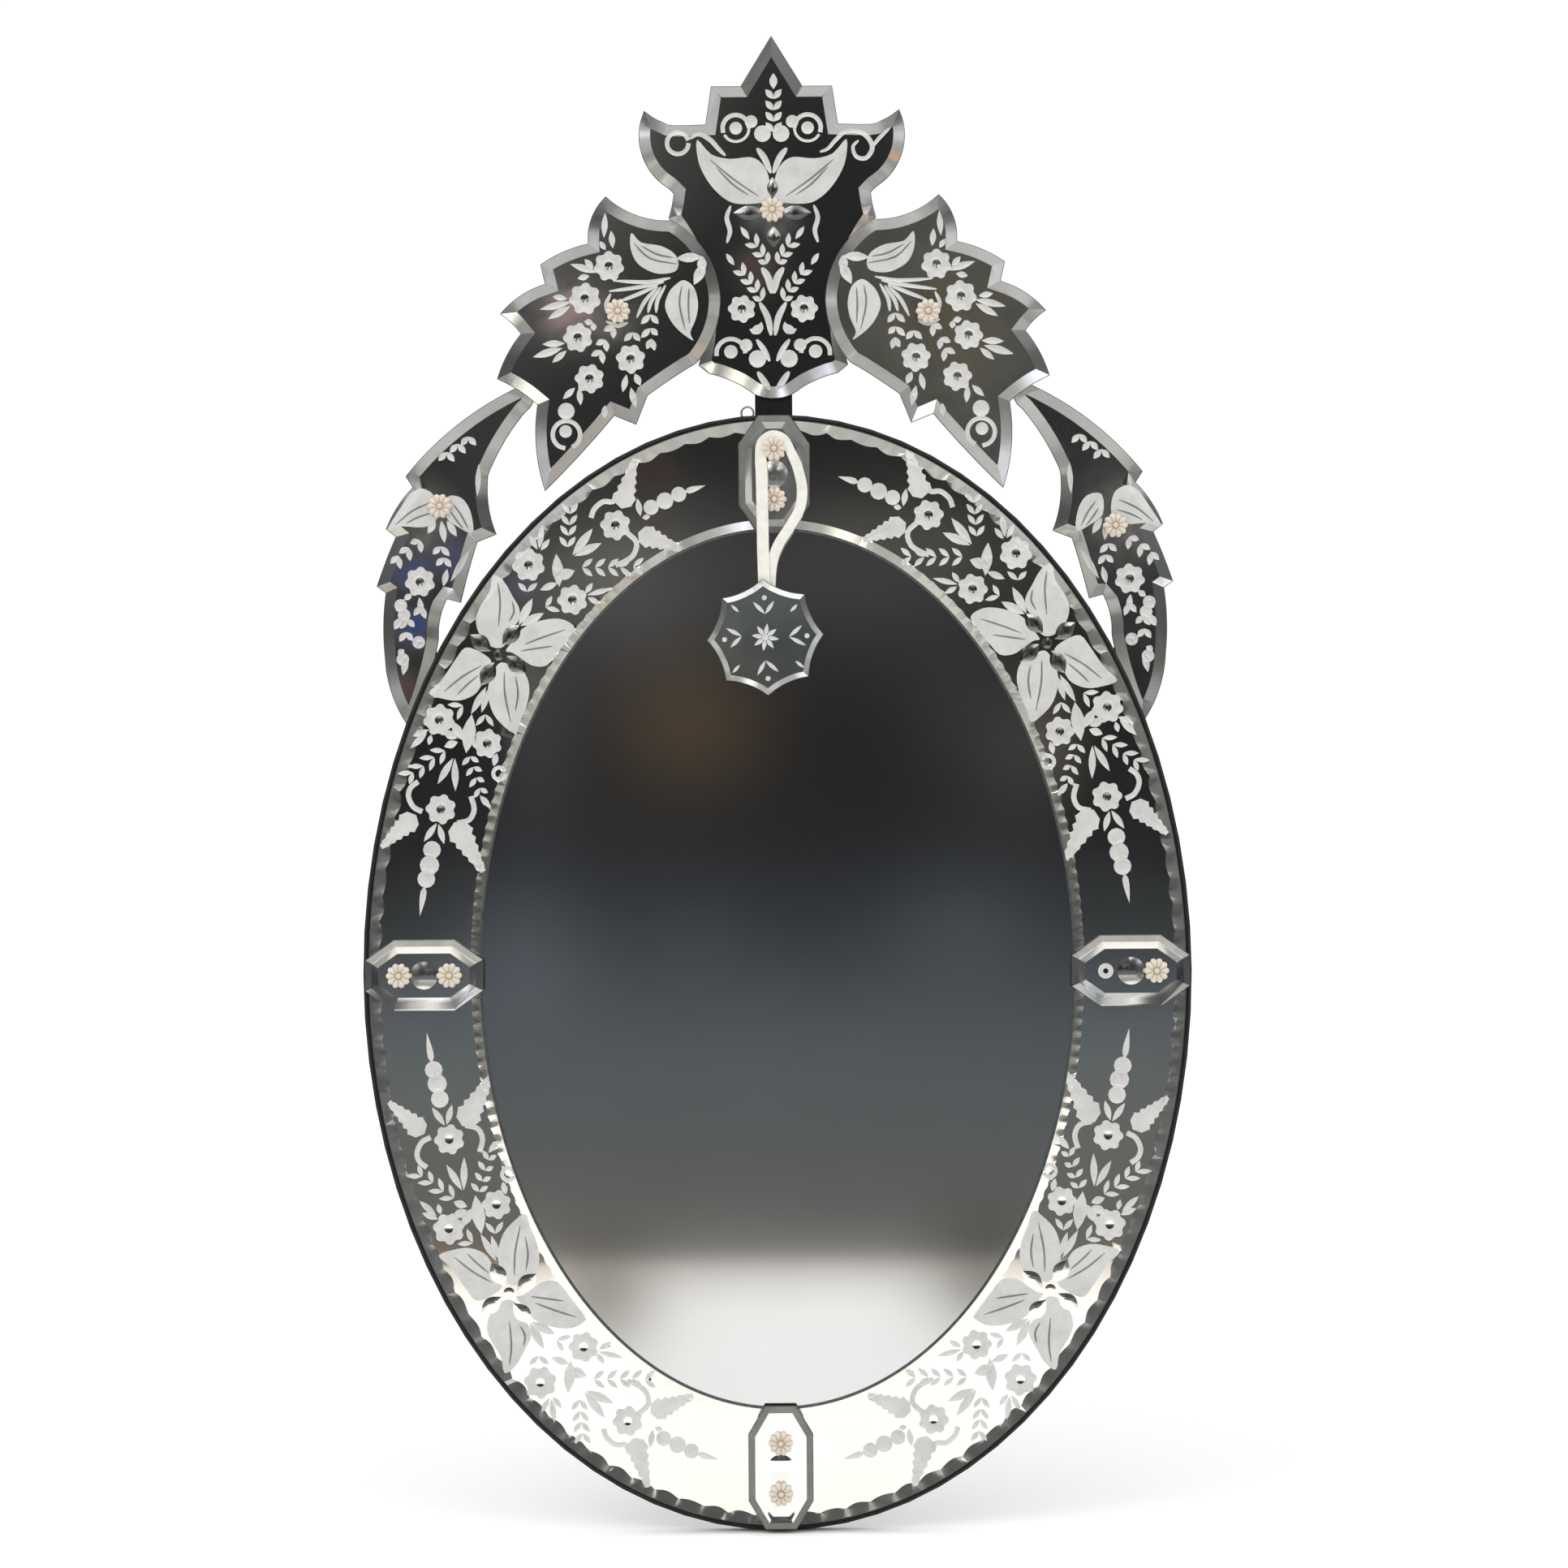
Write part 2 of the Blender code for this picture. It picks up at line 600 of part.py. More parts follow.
def make_covers(places, looks):
    for name, place in places.items():
        plate = cover_plate("cover_plate_" + name, place, looks["cover"])
        x, z, _, _, turn = place
        for side, way in (("outer", 1), ("inner", -1)):
            outward = way if name in ("top", "right") else -way
            rx = x + outward * ROSETTE_STEP * math.cos(turn)
            rz = z + outward * ROSETTE_STEP * math.sin(turn)
            if (name, side) == ("right", "inner"):
                drill(plate, rx, rz, SCREW_HOLE / 2, COVER_FRONT, COVER_BACK)
            else:
                rosette(f"rosette_{name}_{side}", rx, rz, COVER_FRONT, looks["rosette"])


def make_crest(looks):
    centre = crest_outline(both_halves(CENTRE_HALF))
    leaf = crest_outline(LEAF_CORNERS)
    wing = crest_outline(WING_CORNERS)
    wing_board = crest_outline(WING_BOARD_CORNERS)
    plates = [
        ("crest_plate", centre, CREST_BACK),
        ("leaf_plate_left", leaf, LEAF_BACK),
        ("leaf_plate_right", mirrored(leaf), LEAF_BACK),
        ("wing_plate_left", wing, WING_BACK),
        ("wing_plate_right", mirrored(wing), WING_BACK),
    ]
    for name, loop, back in plates:
        show(name, plate_mesh(name, loop, back, CREST_GLASS, CREST_BEVEL), looks["crest"])
    boards = [("wing_board_left", wing_board), ("wing_board_right", mirrored(wing_board))]
    for name, loop in boards:
        slab(name, loop, BATTEN_BACK, WING_BACK + CLEARANCE, looks["board"])
    for name, (across, above, on) in CREST_ROSETTES.items():
        rosette(name, *crest_place(across, above), on, looks["rosette"])


def make_timber(looks):
    half = STRUT_WIDTH / 2
    top_of_hanging = HANG_BATTEN_HEIGHT / 2
    scale_x, scale_z = OVAL_WIDTH * 1000 / DRAWN_WIDTH, OVAL_HEIGHT * 1000 / DRAWN_HEIGHT
    strut_top = OVAL_TOP + STRUT_RISE * scale_z
    box("crest_strut", (-half, BATTEN_FRONT, top_of_hanging + CLEARANCE),
        (half, BATTEN_BACK, strut_top), looks["board"])
    middle = OVAL_TOP + CREST_BATTEN_RISE * scale_z
    low, high = middle - CREST_BATTEN_HEIGHT / 2, middle + CREST_BATTEN_HEIGHT / 2
    reach, pad = CREST_BATTEN_REACH * scale_x, LEAF_PAD_REACH * scale_x
    for side, way in (("left", -1), ("right", 1)):
        ends = sorted((way * (half + CLEARANCE), way * reach))
        box("crest_batten_" + side, (ends[0], BATTEN_FRONT, low),
            (ends[1], BATTEN_BACK, high), looks["board"])
        ends = sorted((way * pad, way * reach))
        box("leaf_pad_" + side, (ends[0], CREST_FRONT, low),
            (ends[1], BATTEN_FRONT - CLEARANCE, high), looks["board"])
    half = HANG_BATTEN_LENGTH / 2
    batten = box("hanging_batten", (-half, BATTEN_FRONT, -top_of_hanging),
                 (half, BATTEN_BACK, top_of_hanging), looks["batten"])
    room = 0.003
    low, high = -keyhole_drop() - KEYHOLE_HEAD - room, KEYHOLE_RISE + KEYHOLE_HEAD + room
    for side, way in (("left", -1), ("right", 1)):
        x, wide = way * KEYHOLE_STEP, KEYHOLE_HEAD + room
        cut_out(batten, "screw_pocket_" + side, box_mesh(
            "screw_pocket", (x - wide, BATTEN_BACK - POCKET_DEPTH, low),
            (x + wide, BATTEN_BACK + room, high),
        ))
    low_middle = OVAL_MIDDLE - LOW_BATTEN_DROP
    wall = 0.0
    box("lower_batten", (-half, BATTEN_FRONT, low_middle - LOW_BATTEN_HEIGHT / 2),
        (half, wall, low_middle + LOW_BATTEN_HEIGHT / 2), looks["batten"])


def keyhole_drop():
    """How far a keyhole's round part sits below the plate's middle line."""
    return KEYHOLE_HEAD * 0.9


def keyhole(x):
    """A keyhole, its slot above the round that a screw head enters by."""
    drop = keyhole_drop()
    head = moved(ellipse(KEYHOLE_HEAD, KEYHOLE_HEAD, 0.0, 16), x, -drop)
    lean = math.asin(KEYHOLE_SLOT / KEYHOLE_HEAD)
    shoulder = -drop + KEYHOLE_HEAD * math.cos(lean)
    slot_top = [
        (x + KEYHOLE_SLOT * math.cos(a), KEYHOLE_RISE + KEYHOLE_SLOT * math.sin(a))
        for a in (math.pi * i / 6 for i in range(7))
    ]
    below = [p for p in head if p[1] < shoulder - 1e-5]
    left = sorted((p for p in below if p[0] < x), key=lambda p: -p[1])
    right = sorted((p for p in below if p[0] >= x), key=lambda p: p[1])
    return slot_top + [(x - KEYHOLE_SLOT, shoulder)] + left + right + [(x + KEYHOLE_SLOT, shoulder)]


def hanging_plate(finish):
    """The steel plate whose two keyholes hang on wall screws."""
    a, b = HANGER_LENGTH / 2, HANGER_HEIGHT / 2
    plate = box("hanging_plate", (-a, HANGER_FRONT, -b), (a, 0.0, b), finish)
    over = 0.001
    for side, way in (("left", -1), ("right", 1)):
        loop = keyhole(way * KEYHOLE_STEP)
        rings = [(loop, over), (loop, HANGER_FRONT - over)]
        cut_out(plate, "keyhole_" + side, shell_mesh("keyhole", rings))


def wire_eye(finish):
    """The small wire loop that shows beside the strut, just above the oval."""
    x = -STRUT_WIDTH / 2 - WIRE_EYE_RADIUS - WIRE_RADIUS - CLEARANCE
    sides, around = 16, 6

    def build(bm):
        rows = []
        for i in range(sides):
            turn = 2 * math.pi * i / sides
            row = []
            for j in range(around):
                tilt = 2 * math.pi * j / around
                reach = WIRE_EYE_RADIUS + WIRE_RADIUS * math.cos(tilt)
                row.append(bm.verts.new((
                    x + reach * math.cos(turn),
                    BATTEN_FRONT + 2 * WIRE_RADIUS + WIRE_RADIUS * math.sin(tilt),
                    OVAL_TOP + WIRE_EYE_RADIUS * 0.55 + reach * math.sin(turn),
                )))
            rows.append(row)
        for a, b in zip(rows, rows[1:] + rows[:1]):
            for j in range(around):
                k = (j + 1) % around
                bm.faces.new((a[j], a[k], b[k], b[j]))
    return show("wire_eye", mesh_of("wire_eye", build), finish, smooth=True)


def pendant_outline(x, z):
    corners = [
        (PENDANT_RADIUS * math.cos(a), PENDANT_RADIUS * math.sin(a))
        for a in (math.pi / 4 * i + math.pi / 2 for i in range(8))
    ]
    loop = []
    for start, end in zip(corners, corners[1:] + corners[:1]):
        loop += arc(start, end, -PENDANT_HOLLOW)
    return moved(loop, x, z, PENDANT_TURN)


def smooth_route(points, step):
    """Points every step along a Catmull-Rom curve through the route's own points."""
    p = np.array([points[0], *points, points[-1]], float)
    p[0] = 2 * p[1] - p[2]
    p[-1] = 2 * p[-2] - p[-3]
    fine = []
    for i in range(1, len(p) - 2):
        for t in np.linspace(0, 1, 24, endpoint=False):
            fine.append(0.5 * (
                2 * p[i] + (p[i + 1] - p[i - 1]) * t
                + (2 * p[i - 1] - 5 * p[i] + 4 * p[i + 1] - p[i + 2]) * t ** 2
                + (3 * p[i] - p[i - 1] - 3 * p[i + 1] + p[i + 2]) * t ** 3
            ))
    fine.append(p[-2])
    fine = np.array(fine)
    run = np.r_[0, np.linalg.norm(np.diff(fine, axis=0), axis=1).cumsum()]
    at = np.linspace(0, run[-1], round(run[-1] / step) + 1)
    return np.stack([np.interp(at, run, fine[:, k]) for k in range(3)], axis=1)


def pendant_ribbon(x, z, finish):
    """A flat woven ribbon from the pendant, over the top rosette's neck and back."""
    route = smooth_route(RIBBON_ROUTE, RIBBON_WIDTH * 750) / 1000
    tangents = np.gradient(route, axis=0)
    rows = []
    for (across, above, forward), tangent in zip(route, tangents):
        centre = np.array((x + across, COVER_FRONT - forward, z + above))
        run = np.array((tangent[0], -tangent[2], tangent[1]))
        run /= np.linalg.norm(run)
        side = np.cross(run, (0.0, 1.0, 0.0))
        side /= np.linalg.norm(side)
        face = np.cross(side, run)
        half_width, half_thick = side * RIBBON_WIDTH / 2, face * RIBBON_THICKNESS / 2
        rows.append([
            centre - half_width - half_thick, centre + half_width - half_thick,
            centre + half_width + half_thick, centre - half_width + half_thick,
        ])

    def build(bm):
        made = [[bm.verts.new(point) for point in row] for row in rows]
        for a, b in zip(made, made[1:]):
            for i in range(4):
                j = (i + 1) % 4
                bm.faces.new((a[i], a[j], b[j], b[i]))
        bm.faces.new(made[0])
        bm.faces.new(made[-1])
    return show("pendant_ribbon", mesh_of("pendant_ribbon", build), finish)


def make_pendant(top_cover, looks):
    x, z, _, _, _ = top_cover
    hook = z + ROSETTE_STEP
    pendant_ribbon(x, hook, looks["ribbon"])
    forward = RIBBON_ROUTE[0][2] / 1000 + RIBBON_THICKNESS / 2 + CLEARANCE
    loop = pendant_outline(x + PENDANT_SHIFT, hook - PENDANT_DROP)
    mesh = plate_mesh("pendant", loop, COVER_FRONT - forward, PENDANT_GLASS, PENDANT_BEVEL)
    show("pendant", mesh, looks["pendant"])


def main():
    clear_scene()
    looks = make_materials()
    backing_board(looks["board"])
    centre_mirror(looks["mirror"])
    quarters = ["upper_right", "upper_left", "lower_left", "lower_right"]
    for quarter, name in enumerate(quarters):
        border_segment("border_" + name, quarter, looks["border"])
    covers = cover_places()
    make_covers(covers, looks)
    make_crest(looks)
    make_timber(looks)
    hanging_plate(looks["steel"])
    wire_eye(looks["steel"])
    make_pendant(covers["top"], looks)


main()
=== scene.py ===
"""The looks of a tall oval wall mirror with an engraved glass border and a leafy glass crest."""

import math

import bmesh
import bpy
import numpy as np
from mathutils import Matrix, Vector
from mathutils.geometry import delaunay_2d_cdt


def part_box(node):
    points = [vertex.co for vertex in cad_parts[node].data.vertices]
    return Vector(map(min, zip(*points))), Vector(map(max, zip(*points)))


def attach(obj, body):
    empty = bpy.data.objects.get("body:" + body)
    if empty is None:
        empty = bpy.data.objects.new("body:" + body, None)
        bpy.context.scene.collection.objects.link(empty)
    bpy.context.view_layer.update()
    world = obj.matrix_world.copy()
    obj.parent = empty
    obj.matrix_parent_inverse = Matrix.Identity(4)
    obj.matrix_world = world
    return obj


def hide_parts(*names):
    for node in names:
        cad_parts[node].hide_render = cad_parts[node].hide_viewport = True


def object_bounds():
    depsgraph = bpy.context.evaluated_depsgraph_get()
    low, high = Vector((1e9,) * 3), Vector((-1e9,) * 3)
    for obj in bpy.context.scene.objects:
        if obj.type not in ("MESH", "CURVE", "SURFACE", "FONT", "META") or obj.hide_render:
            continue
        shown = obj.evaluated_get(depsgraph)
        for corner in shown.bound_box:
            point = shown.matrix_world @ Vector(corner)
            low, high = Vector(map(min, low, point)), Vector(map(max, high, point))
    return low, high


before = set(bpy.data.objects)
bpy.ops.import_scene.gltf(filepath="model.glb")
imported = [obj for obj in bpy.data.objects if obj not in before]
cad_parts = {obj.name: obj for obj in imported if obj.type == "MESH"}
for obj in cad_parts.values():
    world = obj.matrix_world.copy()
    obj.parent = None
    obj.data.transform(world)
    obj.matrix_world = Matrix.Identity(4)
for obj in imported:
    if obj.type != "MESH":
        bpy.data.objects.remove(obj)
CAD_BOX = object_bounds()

# The engraving is drawn in units of one pixel of the photograph, seen from the front:
# u runs to the right and v runs down, and one unit is this many metres on the mirror.
UNIT = 0.0006254
DRAWN_MIDDLE = (956.8, 1202.6)    # the oval's middle in the drawing
DRAWN_TURN = math.radians(0.4)    # the photographed mirror leans this much to the left
CREST_AXIS = 954.5                # the crest's own middle line in the drawing

BOARD_LOW, BOARD_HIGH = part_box("backing_board")
OVAL_MIDDLE = (BOARD_LOW.z + BOARD_HIGH.z) / 2
OVAL_HALF = ((BOARD_HIGH.x - BOARD_LOW.x) / 2, (BOARD_HIGH.z - BOARD_LOW.z) / 2)
RIM_REVEAL = 0.005                # black edge of the board around the border glass
OPENING_HALF = (0.228, 0.338)
OPENING_MIDDLE = OVAL_MIDDLE + 0.003
JOINT_GAP = 0.0006

BEVEL_EDGE = 0.0022               # glass left standing at a bevel's thin edge
BORDER_BEVEL = 0.0090
CREST_BEVEL = 0.0090
COVER_BEVEL = 0.0105
PENDANT_BEVEL = 0.0045
SCALLOP_STEP = 0.0205             # from lobe to lobe along the outer bevel
SCALLOP_DEPTH = 0.0030
TOOTH_STEP = 0.0100               # from cusp to cusp along the inner bevel
TOOTH_DEPTH = 0.0013
TOOTHLESS = 0.09                  # run of plain bevel on each side of the opening's top
LOBE_HOLLOW = 0.00016             # how much deeper each lobe is hollowed than a plain bevel
LOBE_HOLLOW_PLACE = 0.66          # where across the bevel it is deepest
INNER_ARRIS = 0.0016              # blunted edge around the opening, in the dark glass-edge finish: painted shade along the gap there
OUTER_ARRIS = 0.0005              # the same along the other edges
SHARP_BEND = math.radians(9)

# The last finish is painted shade: a grey band over the outer half of some bevels.
FLAT, BEVEL, FROST, CLEAR, LENS, VEIN, EDGE, PAINT, PAINTED_SHADE_BAND = range(9)
RANK = {FLAT: 0, BEVEL: 1, PAINTED_SHADE_BAND: 2, FROST: 3, VEIN: 4, CLEAR: 5, LENS: 6, EDGE: 7}


# Camera

CAMERA_DISTANCE = 3.0
CAMERA_HEIGHT = -0.1935
CAMERA_SIDE = 0.006
FRAME_WIDTH = 1.2083              # what the picture's width shows at the mirror
SENSOR = 36.0


def placed(name, data):
    """A new object in the scene."""
    made = bpy.data.objects.new(name, data)
    bpy.context.scene.collection.objects.link(made)
    return made


def mesh_from(bm, name):
    mesh = bpy.data.meshes.new(name)
    bm.to_mesh(mesh)
    bm.free()
    return mesh


def make_camera():
    made = bpy.data.cameras.new("camera")
    made.sensor_width = SENSOR
    made.lens = SENSOR * CAMERA_DISTANCE / FRAME_WIDTH
    camera = placed("camera", made)
    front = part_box("border_upper_left")[0].y
    camera.location = (CAMERA_SIDE, front - CAMERA_DISTANCE, CAMERA_HEIGHT)
    camera.rotation_euler = (math.pi / 2, DRAWN_TURN, 0.0)
    bpy.context.scene.camera = camera


# Lines and outlines: lists of (x, z) points, counterclockwise as seen from the front

def between(a, b, c, d, t):
    """A point of the Catmull-Rom curve from b to c."""
    return 0.5 * (
        2 * b + (c - a) * t + (2 * a - 5 * b + 4 * c - d) * t ** 2 + (3 * b - a - 3 * c + d) * t ** 3
    )


def smooth_line(points, steps, closed=False):
    """A smooth curve through points of two or three numbers."""
    p = np.array(points, float)
    if closed:
        p = np.vstack([p[-1], p, p[0], p[1]])
    else:
        p = np.vstack([2 * p[0] - p[1], p, 2 * p[-1] - p[-2]])
    shares = np.linspace(0.0, 1.0, steps, endpoint=False)
    made = [between(*p[i - 1:i + 3], t) for i in range(1, len(p) - 2) for t in shares]
    return np.array(made if closed else made + [p[-2]])


def counterclockwise(loop):
    area = sum(x0 * z1 - x1 * z0 for (x0, z0), (x1, z1) in zip(loop, loop[1:] + loop[:1]))
    return loop if area > 0 else loop[::-1]


def left_of(a, b):
    """The unit vector to the left of the way from a to b."""
    run = np.subtract(b, a)
    return np.array((-run[1], run[0])) / np.linalg.norm(run)


def neighbours(loop):
    return zip(loop[-1:] + loop, loop, loop[1:] + loop[:1])


def resampled(loop, step):
    made = []
    for (x0, z0), (x1, z1) in zip(loop, loop[1:] + loop[:1]):
        runs = max(1, round(math.hypot(x1 - x0, z1 - z0) / step))
        made += [(x0 + (x1 - x0) * i / runs, z0 + (z1 - z0) * i / runs) for i in range(runs)]
    return made


def distances(points, line, closed=True):
    """How far each point is from a line of points."""
    a = np.array(line, float)
    b = np.roll(a, -1, axis=0)
    if not closed:
        a, b = a[:-1], b[:-1]
    run = b - a
    found = []
    for chunk in np.array_split(np.array(points, float), max(1, len(points) // 2000)):
        p = chunk[:, None, :]
        share = np.clip(((p - a) * run).sum(2) / np.maximum((run ** 2).sum(1), 1e-18), 0.0, 1.0)
        found.append(np.linalg.norm(p - (a + share[..., None] * run), axis=2).min(1))
    return np.concatenate(found)


def thinned(points, slack):
    """Douglas and Peucker's rule on an open run of points."""
    if len(points) < 3:
        return points
    a, b = np.array(points[0]), np.array(points[-1])
    run = b - a
    size = np.linalg.norm(run)
    rest = np.array(points[1:-1]) - a
    if size < 1e-12:
        off = np.linalg.norm(rest, axis=1)
    else:
        off = np.abs(rest[:, 0] * run[1] - rest[:, 1] * run[0]) / size
    worst = int(off.argmax())
    if off[worst] <= slack:
        return [points[0], points[-1]]
    return thinned(points[:worst + 2], slack)[:-1] + thinned(points[worst + 1:], slack)


def crossing(a, b, c, d):
    r, s = (b[0] - a[0], b[1] - a[1]), (d[0] - c[0], d[1] - c[1])
    cross = r[0] * s[1] - r[1] * s[0]
    if abs(cross) < 1e-15:
        return None
    t = ((c[0] - a[0]) * s[1] - (c[1] - a[1]) * s[0]) / cross
    w = ((c[0] - a[0]) * r[1] - (c[1] - a[1]) * r[0]) / cross
    if 0 < t < 1 and 0 < w < 1:
        return a[0] + r[0] * t, a[1] + r[1] * t
    return None


def untied(loop):
    """A loop without the small knots where it crosses itself."""
    i = 0
    while i < len(loop):
        for gap in range(2, min(14, len(loop) - 2)):
            j = (i + gap) % len(loop)
            met = crossing(loop[i], loop[(i + 1) % len(loop)], loop[j], loop[(j + 1) % len(loop)])
            if met is not None:
                rolled = loop[i + 1:] + loop[:i + 1]
                loop = [met] + rolled[gap:]
                i = -1
                break
        i += 1
    return loop


def within(point, loop):
    x, z = point
    inside = False
    for (x0, z0), (x1, z1) in zip(loop, loop[1:] + loop[:1]):
        if (z0 > z) != (z1 > z) and x < x0 + (x1 - x0) * (z - z0) / (z1 - z0):
            inside = not inside
    return inside


def mitred(loop, width):
    """A convex loop moved inwards, corner for corner."""
    made = []
    for before, here, after in neighbours(loop):
        n0, n1 = left_of(before, here), left_of(here, after)
        middle = (n0 + n1) / np.linalg.norm(n0 + n1)
        made.append(tuple(np.array(here) + middle * width / float(middle @ n0)))
    return made


def inset(loop, width, slack=0.00008):
    """The line that a bevel of this width leaves inside a loop."""
    raw = []
    for before, here, after in neighbours(resampled(loop, width / 12)):
        n0, n1 = left_of(before, here), left_of(here, after)
        raw.append(np.array(here) + n0 * width)
        if n0[0] * n1[1] - n0[1] * n1[0] < -0.02:
            middle = (n0 + n1) / max(1e-9, np.linalg.norm(n0 + n1))
            raw.append(here + middle * width / max(0.35, float(middle @ n0)))
        raw.append(here + n1 * width)
    kept = [tuple(p) for p, far in zip(raw, distances(raw, loop)) if far > width * 0.995]
    start = max(range(len(kept)), key=lambda i: kept[i][1])
    kept = kept[start:] + kept[:start]
    thin = thinned(kept + kept[:1], slack)[:-1]
    return untied([
        p for p, q in zip(thin, thin[1:] + thin[:1])
        if math.hypot(p[0] - q[0], p[1] - q[1]) > slack * 2
    ])


def back_outline(node):
    """The outline of a CAD plate's back face, as one loop."""
    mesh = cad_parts[node].data
    rear = max(v.co.y for v in mesh.vertices)
    near = 1e-5

    def key(index):
        co = mesh.vertices[index].co
        return round(co.x / near), round(co.z / near)

    runs = {}
    for face in mesh.polygons:
        if min(mesh.vertices[i].co.y for i in face.vertices) < rear - near:
            continue
        keys = [key(i) for i in face.vertices]
        for a, b in zip(keys, keys[1:] + keys[:1]):
            if (b, a) in runs:
                del runs[(b, a)]
            else:
                runs[(a, b)] = True
    following = {a: b for a, b in runs}
    start = max(following, key=lambda k: k[1])
    loop = [start]
    while following[loop[-1]] != start:
        loop.append(following[loop[-1]])
    return counterclockwise([(a * near, b * near) for a, b in loop])


def softened(loop, gentle=math.radians(22), parts=3):
    """A loop with its gentle bends made round and its corners kept."""
    p = [np.array(q) for q in loop]
    count = len(p)

    def bend(i):
        a, b = p[i] - p[i - 1], p[(i + 1) % count] - p[i]
        return abs(math.atan2(a[0] * b[1] - a[1] * b[0], float(a @ b)))

    made = []
    for i in range(count):
        j, k = (i + 1) % count, (i + 2) % count
        before = p[i - 1] if bend(i) < gentle else 2 * p[i] - p[j]
        after = p[k] if bend(j) < gentle else 2 * p[j] - p[i]
        straight = bend(i) >= gentle and bend(j) >= gentle
        shares = [0.0] if straight else np.linspace(0.0, 1.0, parts, endpoint=False)
        made += [tuple(between(before, p[i], p[j], after, t)) for t in shares]
    return made


# Drawn cuts: each is (outline, ridges, finish). Outlines are in drawing units, and a ridge
# is a line of (u, v, depth) along the deepest part of the cut, its depth in units too.

LEAF_DEPTH, STROKE_DEPTH, DISC_DEPTH = 0.11, 0.12, 0.16     # of their width or radius
VEIN_WIDTH, VEIN_DEPTH = 2.6, 0.65
FLOWER_LOBES = 7
FLOWER_EYE = 5.6


def leaf(u0, v0, u1, v1, width, finish=FROST, fullest=0.5, points=5):
    """A pointed leaf from its stalk to its tip."""
    run = np.array((u1 - u0, v1 - v0), float)
    side = np.array((-run[1], run[0])) / np.linalg.norm(run)
    power = math.log(0.5) / math.log(fullest)
    left, right, rib = [], [], []
    for i in range(points + 1):
        t = i / points
        middle = np.array((u0, v0)) + run * t
        swell = math.sin(math.pi * t ** power)
        half = side * width / 2 * swell
        rib.append((*middle, width * LEAF_DEPTH * swell))
        if 0 < i < points:
            left.append(middle + half)
            right.append(middle - half)
    ends = rib[0][:2], rib[-1][:2]
    return [([ends[0], *left, ends[1], *right[::-1]], [rib[1:-1]], finish)]


def stroke(points, width, finish=FROST, taper=True, depth=None, steps=3):
    """A ground line along a curve, thin at its ends where it tapers."""
    line = smooth_line(points, steps)
    along = np.gradient(line, axis=0)
    side = np.stack([-along[:, 1], along[:, 0]], 1) / np.linalg.norm(along, axis=1)[:, None]
    t = np.linspace(0.0, 1.0, len(line))
    half = width / 2 * (0.35 + 0.65 * np.sin(math.pi * t) ** 0.5 if taper else np.ones(len(t)))
    left, right = line + side * half[:, None], line - side * half[:, None]
    depth = width * STROKE_DEPTH if depth is None else depth
    ridge = [(u, v, depth) for u, v in line[1:-1]]
    return [(list(map(tuple, left)) + list(map(tuple, right[::-1])), [ridge], finish)]


def disc(u, v, radius, finish=FROST, sides=12, depth=None):
    """A round hollow."""
    made, floor = [], []
    depth = radius * DISC_DEPTH if depth is None else depth
    for i in range(sides):
        a = 2 * math.pi * i / sides
        du, dv = radius * math.cos(a), radius * math.sin(a)
        made.append((u + du, v + dv))
        floor.append((u + du * 0.5, v + dv * 0.5, depth * 0.75))
    return [(made, [floor + floor[:1], [(u, v, depth)]], finish)]


def bowl(u, v, radius, depth, sides=28, rings=5):
    """A round polished hollow with a smooth, ball-shaped floor."""
    def ring(reach):
        return [(
            u + radius * reach * math.cos(2 * math.pi * i / sides),
            v + radius * reach * math.sin(2 * math.pi * i / sides), depth * (1 - reach ** 2),
        ) for i in range(sides + 1)]

    floors = [ring(k / rings) for k in range(1, rings)] + [[(u, v, depth)]]
    return [([(p[0], p[1]) for p in ring(1.0)[:-1]], floors, LENS)]


def flower(u, v, radius, turn):
    """A frosted flower of round lobes about a clear eye."""
    def spot(reach, a):
        return u + reach * math.cos(a), v + reach * math.sin(a)

    steps = FLOWER_LOBES * 5
    outline, trough = [], []
    for i in range(steps):
        a = turn + 2 * math.pi * i / steps
        swell = abs(math.cos(FLOWER_LOBES * (a - turn) / 2)) ** 0.7
        outline.append(spot(radius * (0.71 + 0.29 * swell), a))
    for i in range(FLOWER_LOBES):
        a = turn + 2 * math.pi * i / FLOWER_LOBES
        trough.append([(*spot(reach * radius, a), radius * 0.05) for reach in (0.50, 0.82)])
    return [(outline, trough, FROST)] + disc(u, v, FLOWER_EYE, CLEAR, sides=10, depth=0.4)


def chevron(u, v, ua, va, ub, vb, width=6.6):
    """Two leaflets that meet in the point (u, v)."""
    return leaf(u, v, ua, va, width) + leaf(u, v, ub, vb, width)


def ladder(places, back, spread, width=6.6):
    """Chevrons one behind another: each place is a point, and back runs to the open side."""
    made = []
    length = math.hypot(*back)
    side = (-back[1] / length * spread, back[0] / length * spread)
    for u, v in places:
        made += chevron(u, v, u + back[0] + side[0], v + back[1] + side[1],
                        u + back[0] - side[0], v + back[1] - side[1], width)
    return made


def cone(u0, v0, radius, u1, v1, ripples=5):
    """A bud that tapers from a round base to a blunt tip, with rippled sides."""
    run = np.array((u1 - u0, v1 - v0), float)
    size = np.linalg.norm(run)
    ahead, side = run / size, np.array((-run[1], run[0])) / size
    left, right, rib = [], [], []
    steps = ripples * 4
    for i in range(steps + 1):
        t = i / steps
        half = radius * (1 - 0.76 * t) * (1 + 0.15 * math.sin(2 * math.pi * ripples * t))
        middle = np.array((u0, v0)) + run * t
        left.append(middle + side * half)
        right.append(middle - side * half)
        if i % 4 == 2:
            rib.append((*middle, radius * 0.10))
    cap = [
        np.array((u0, v0)) - ahead * radius * math.sin(a) - side * radius * math.cos(a)
        for a in (math.pi * 0.2, math.pi * 0.5, math.pi * 0.8)
    ]
    outline = left + right[::-1] + cap
    return [([tuple(p) for p in outline], [rib], FROST)]


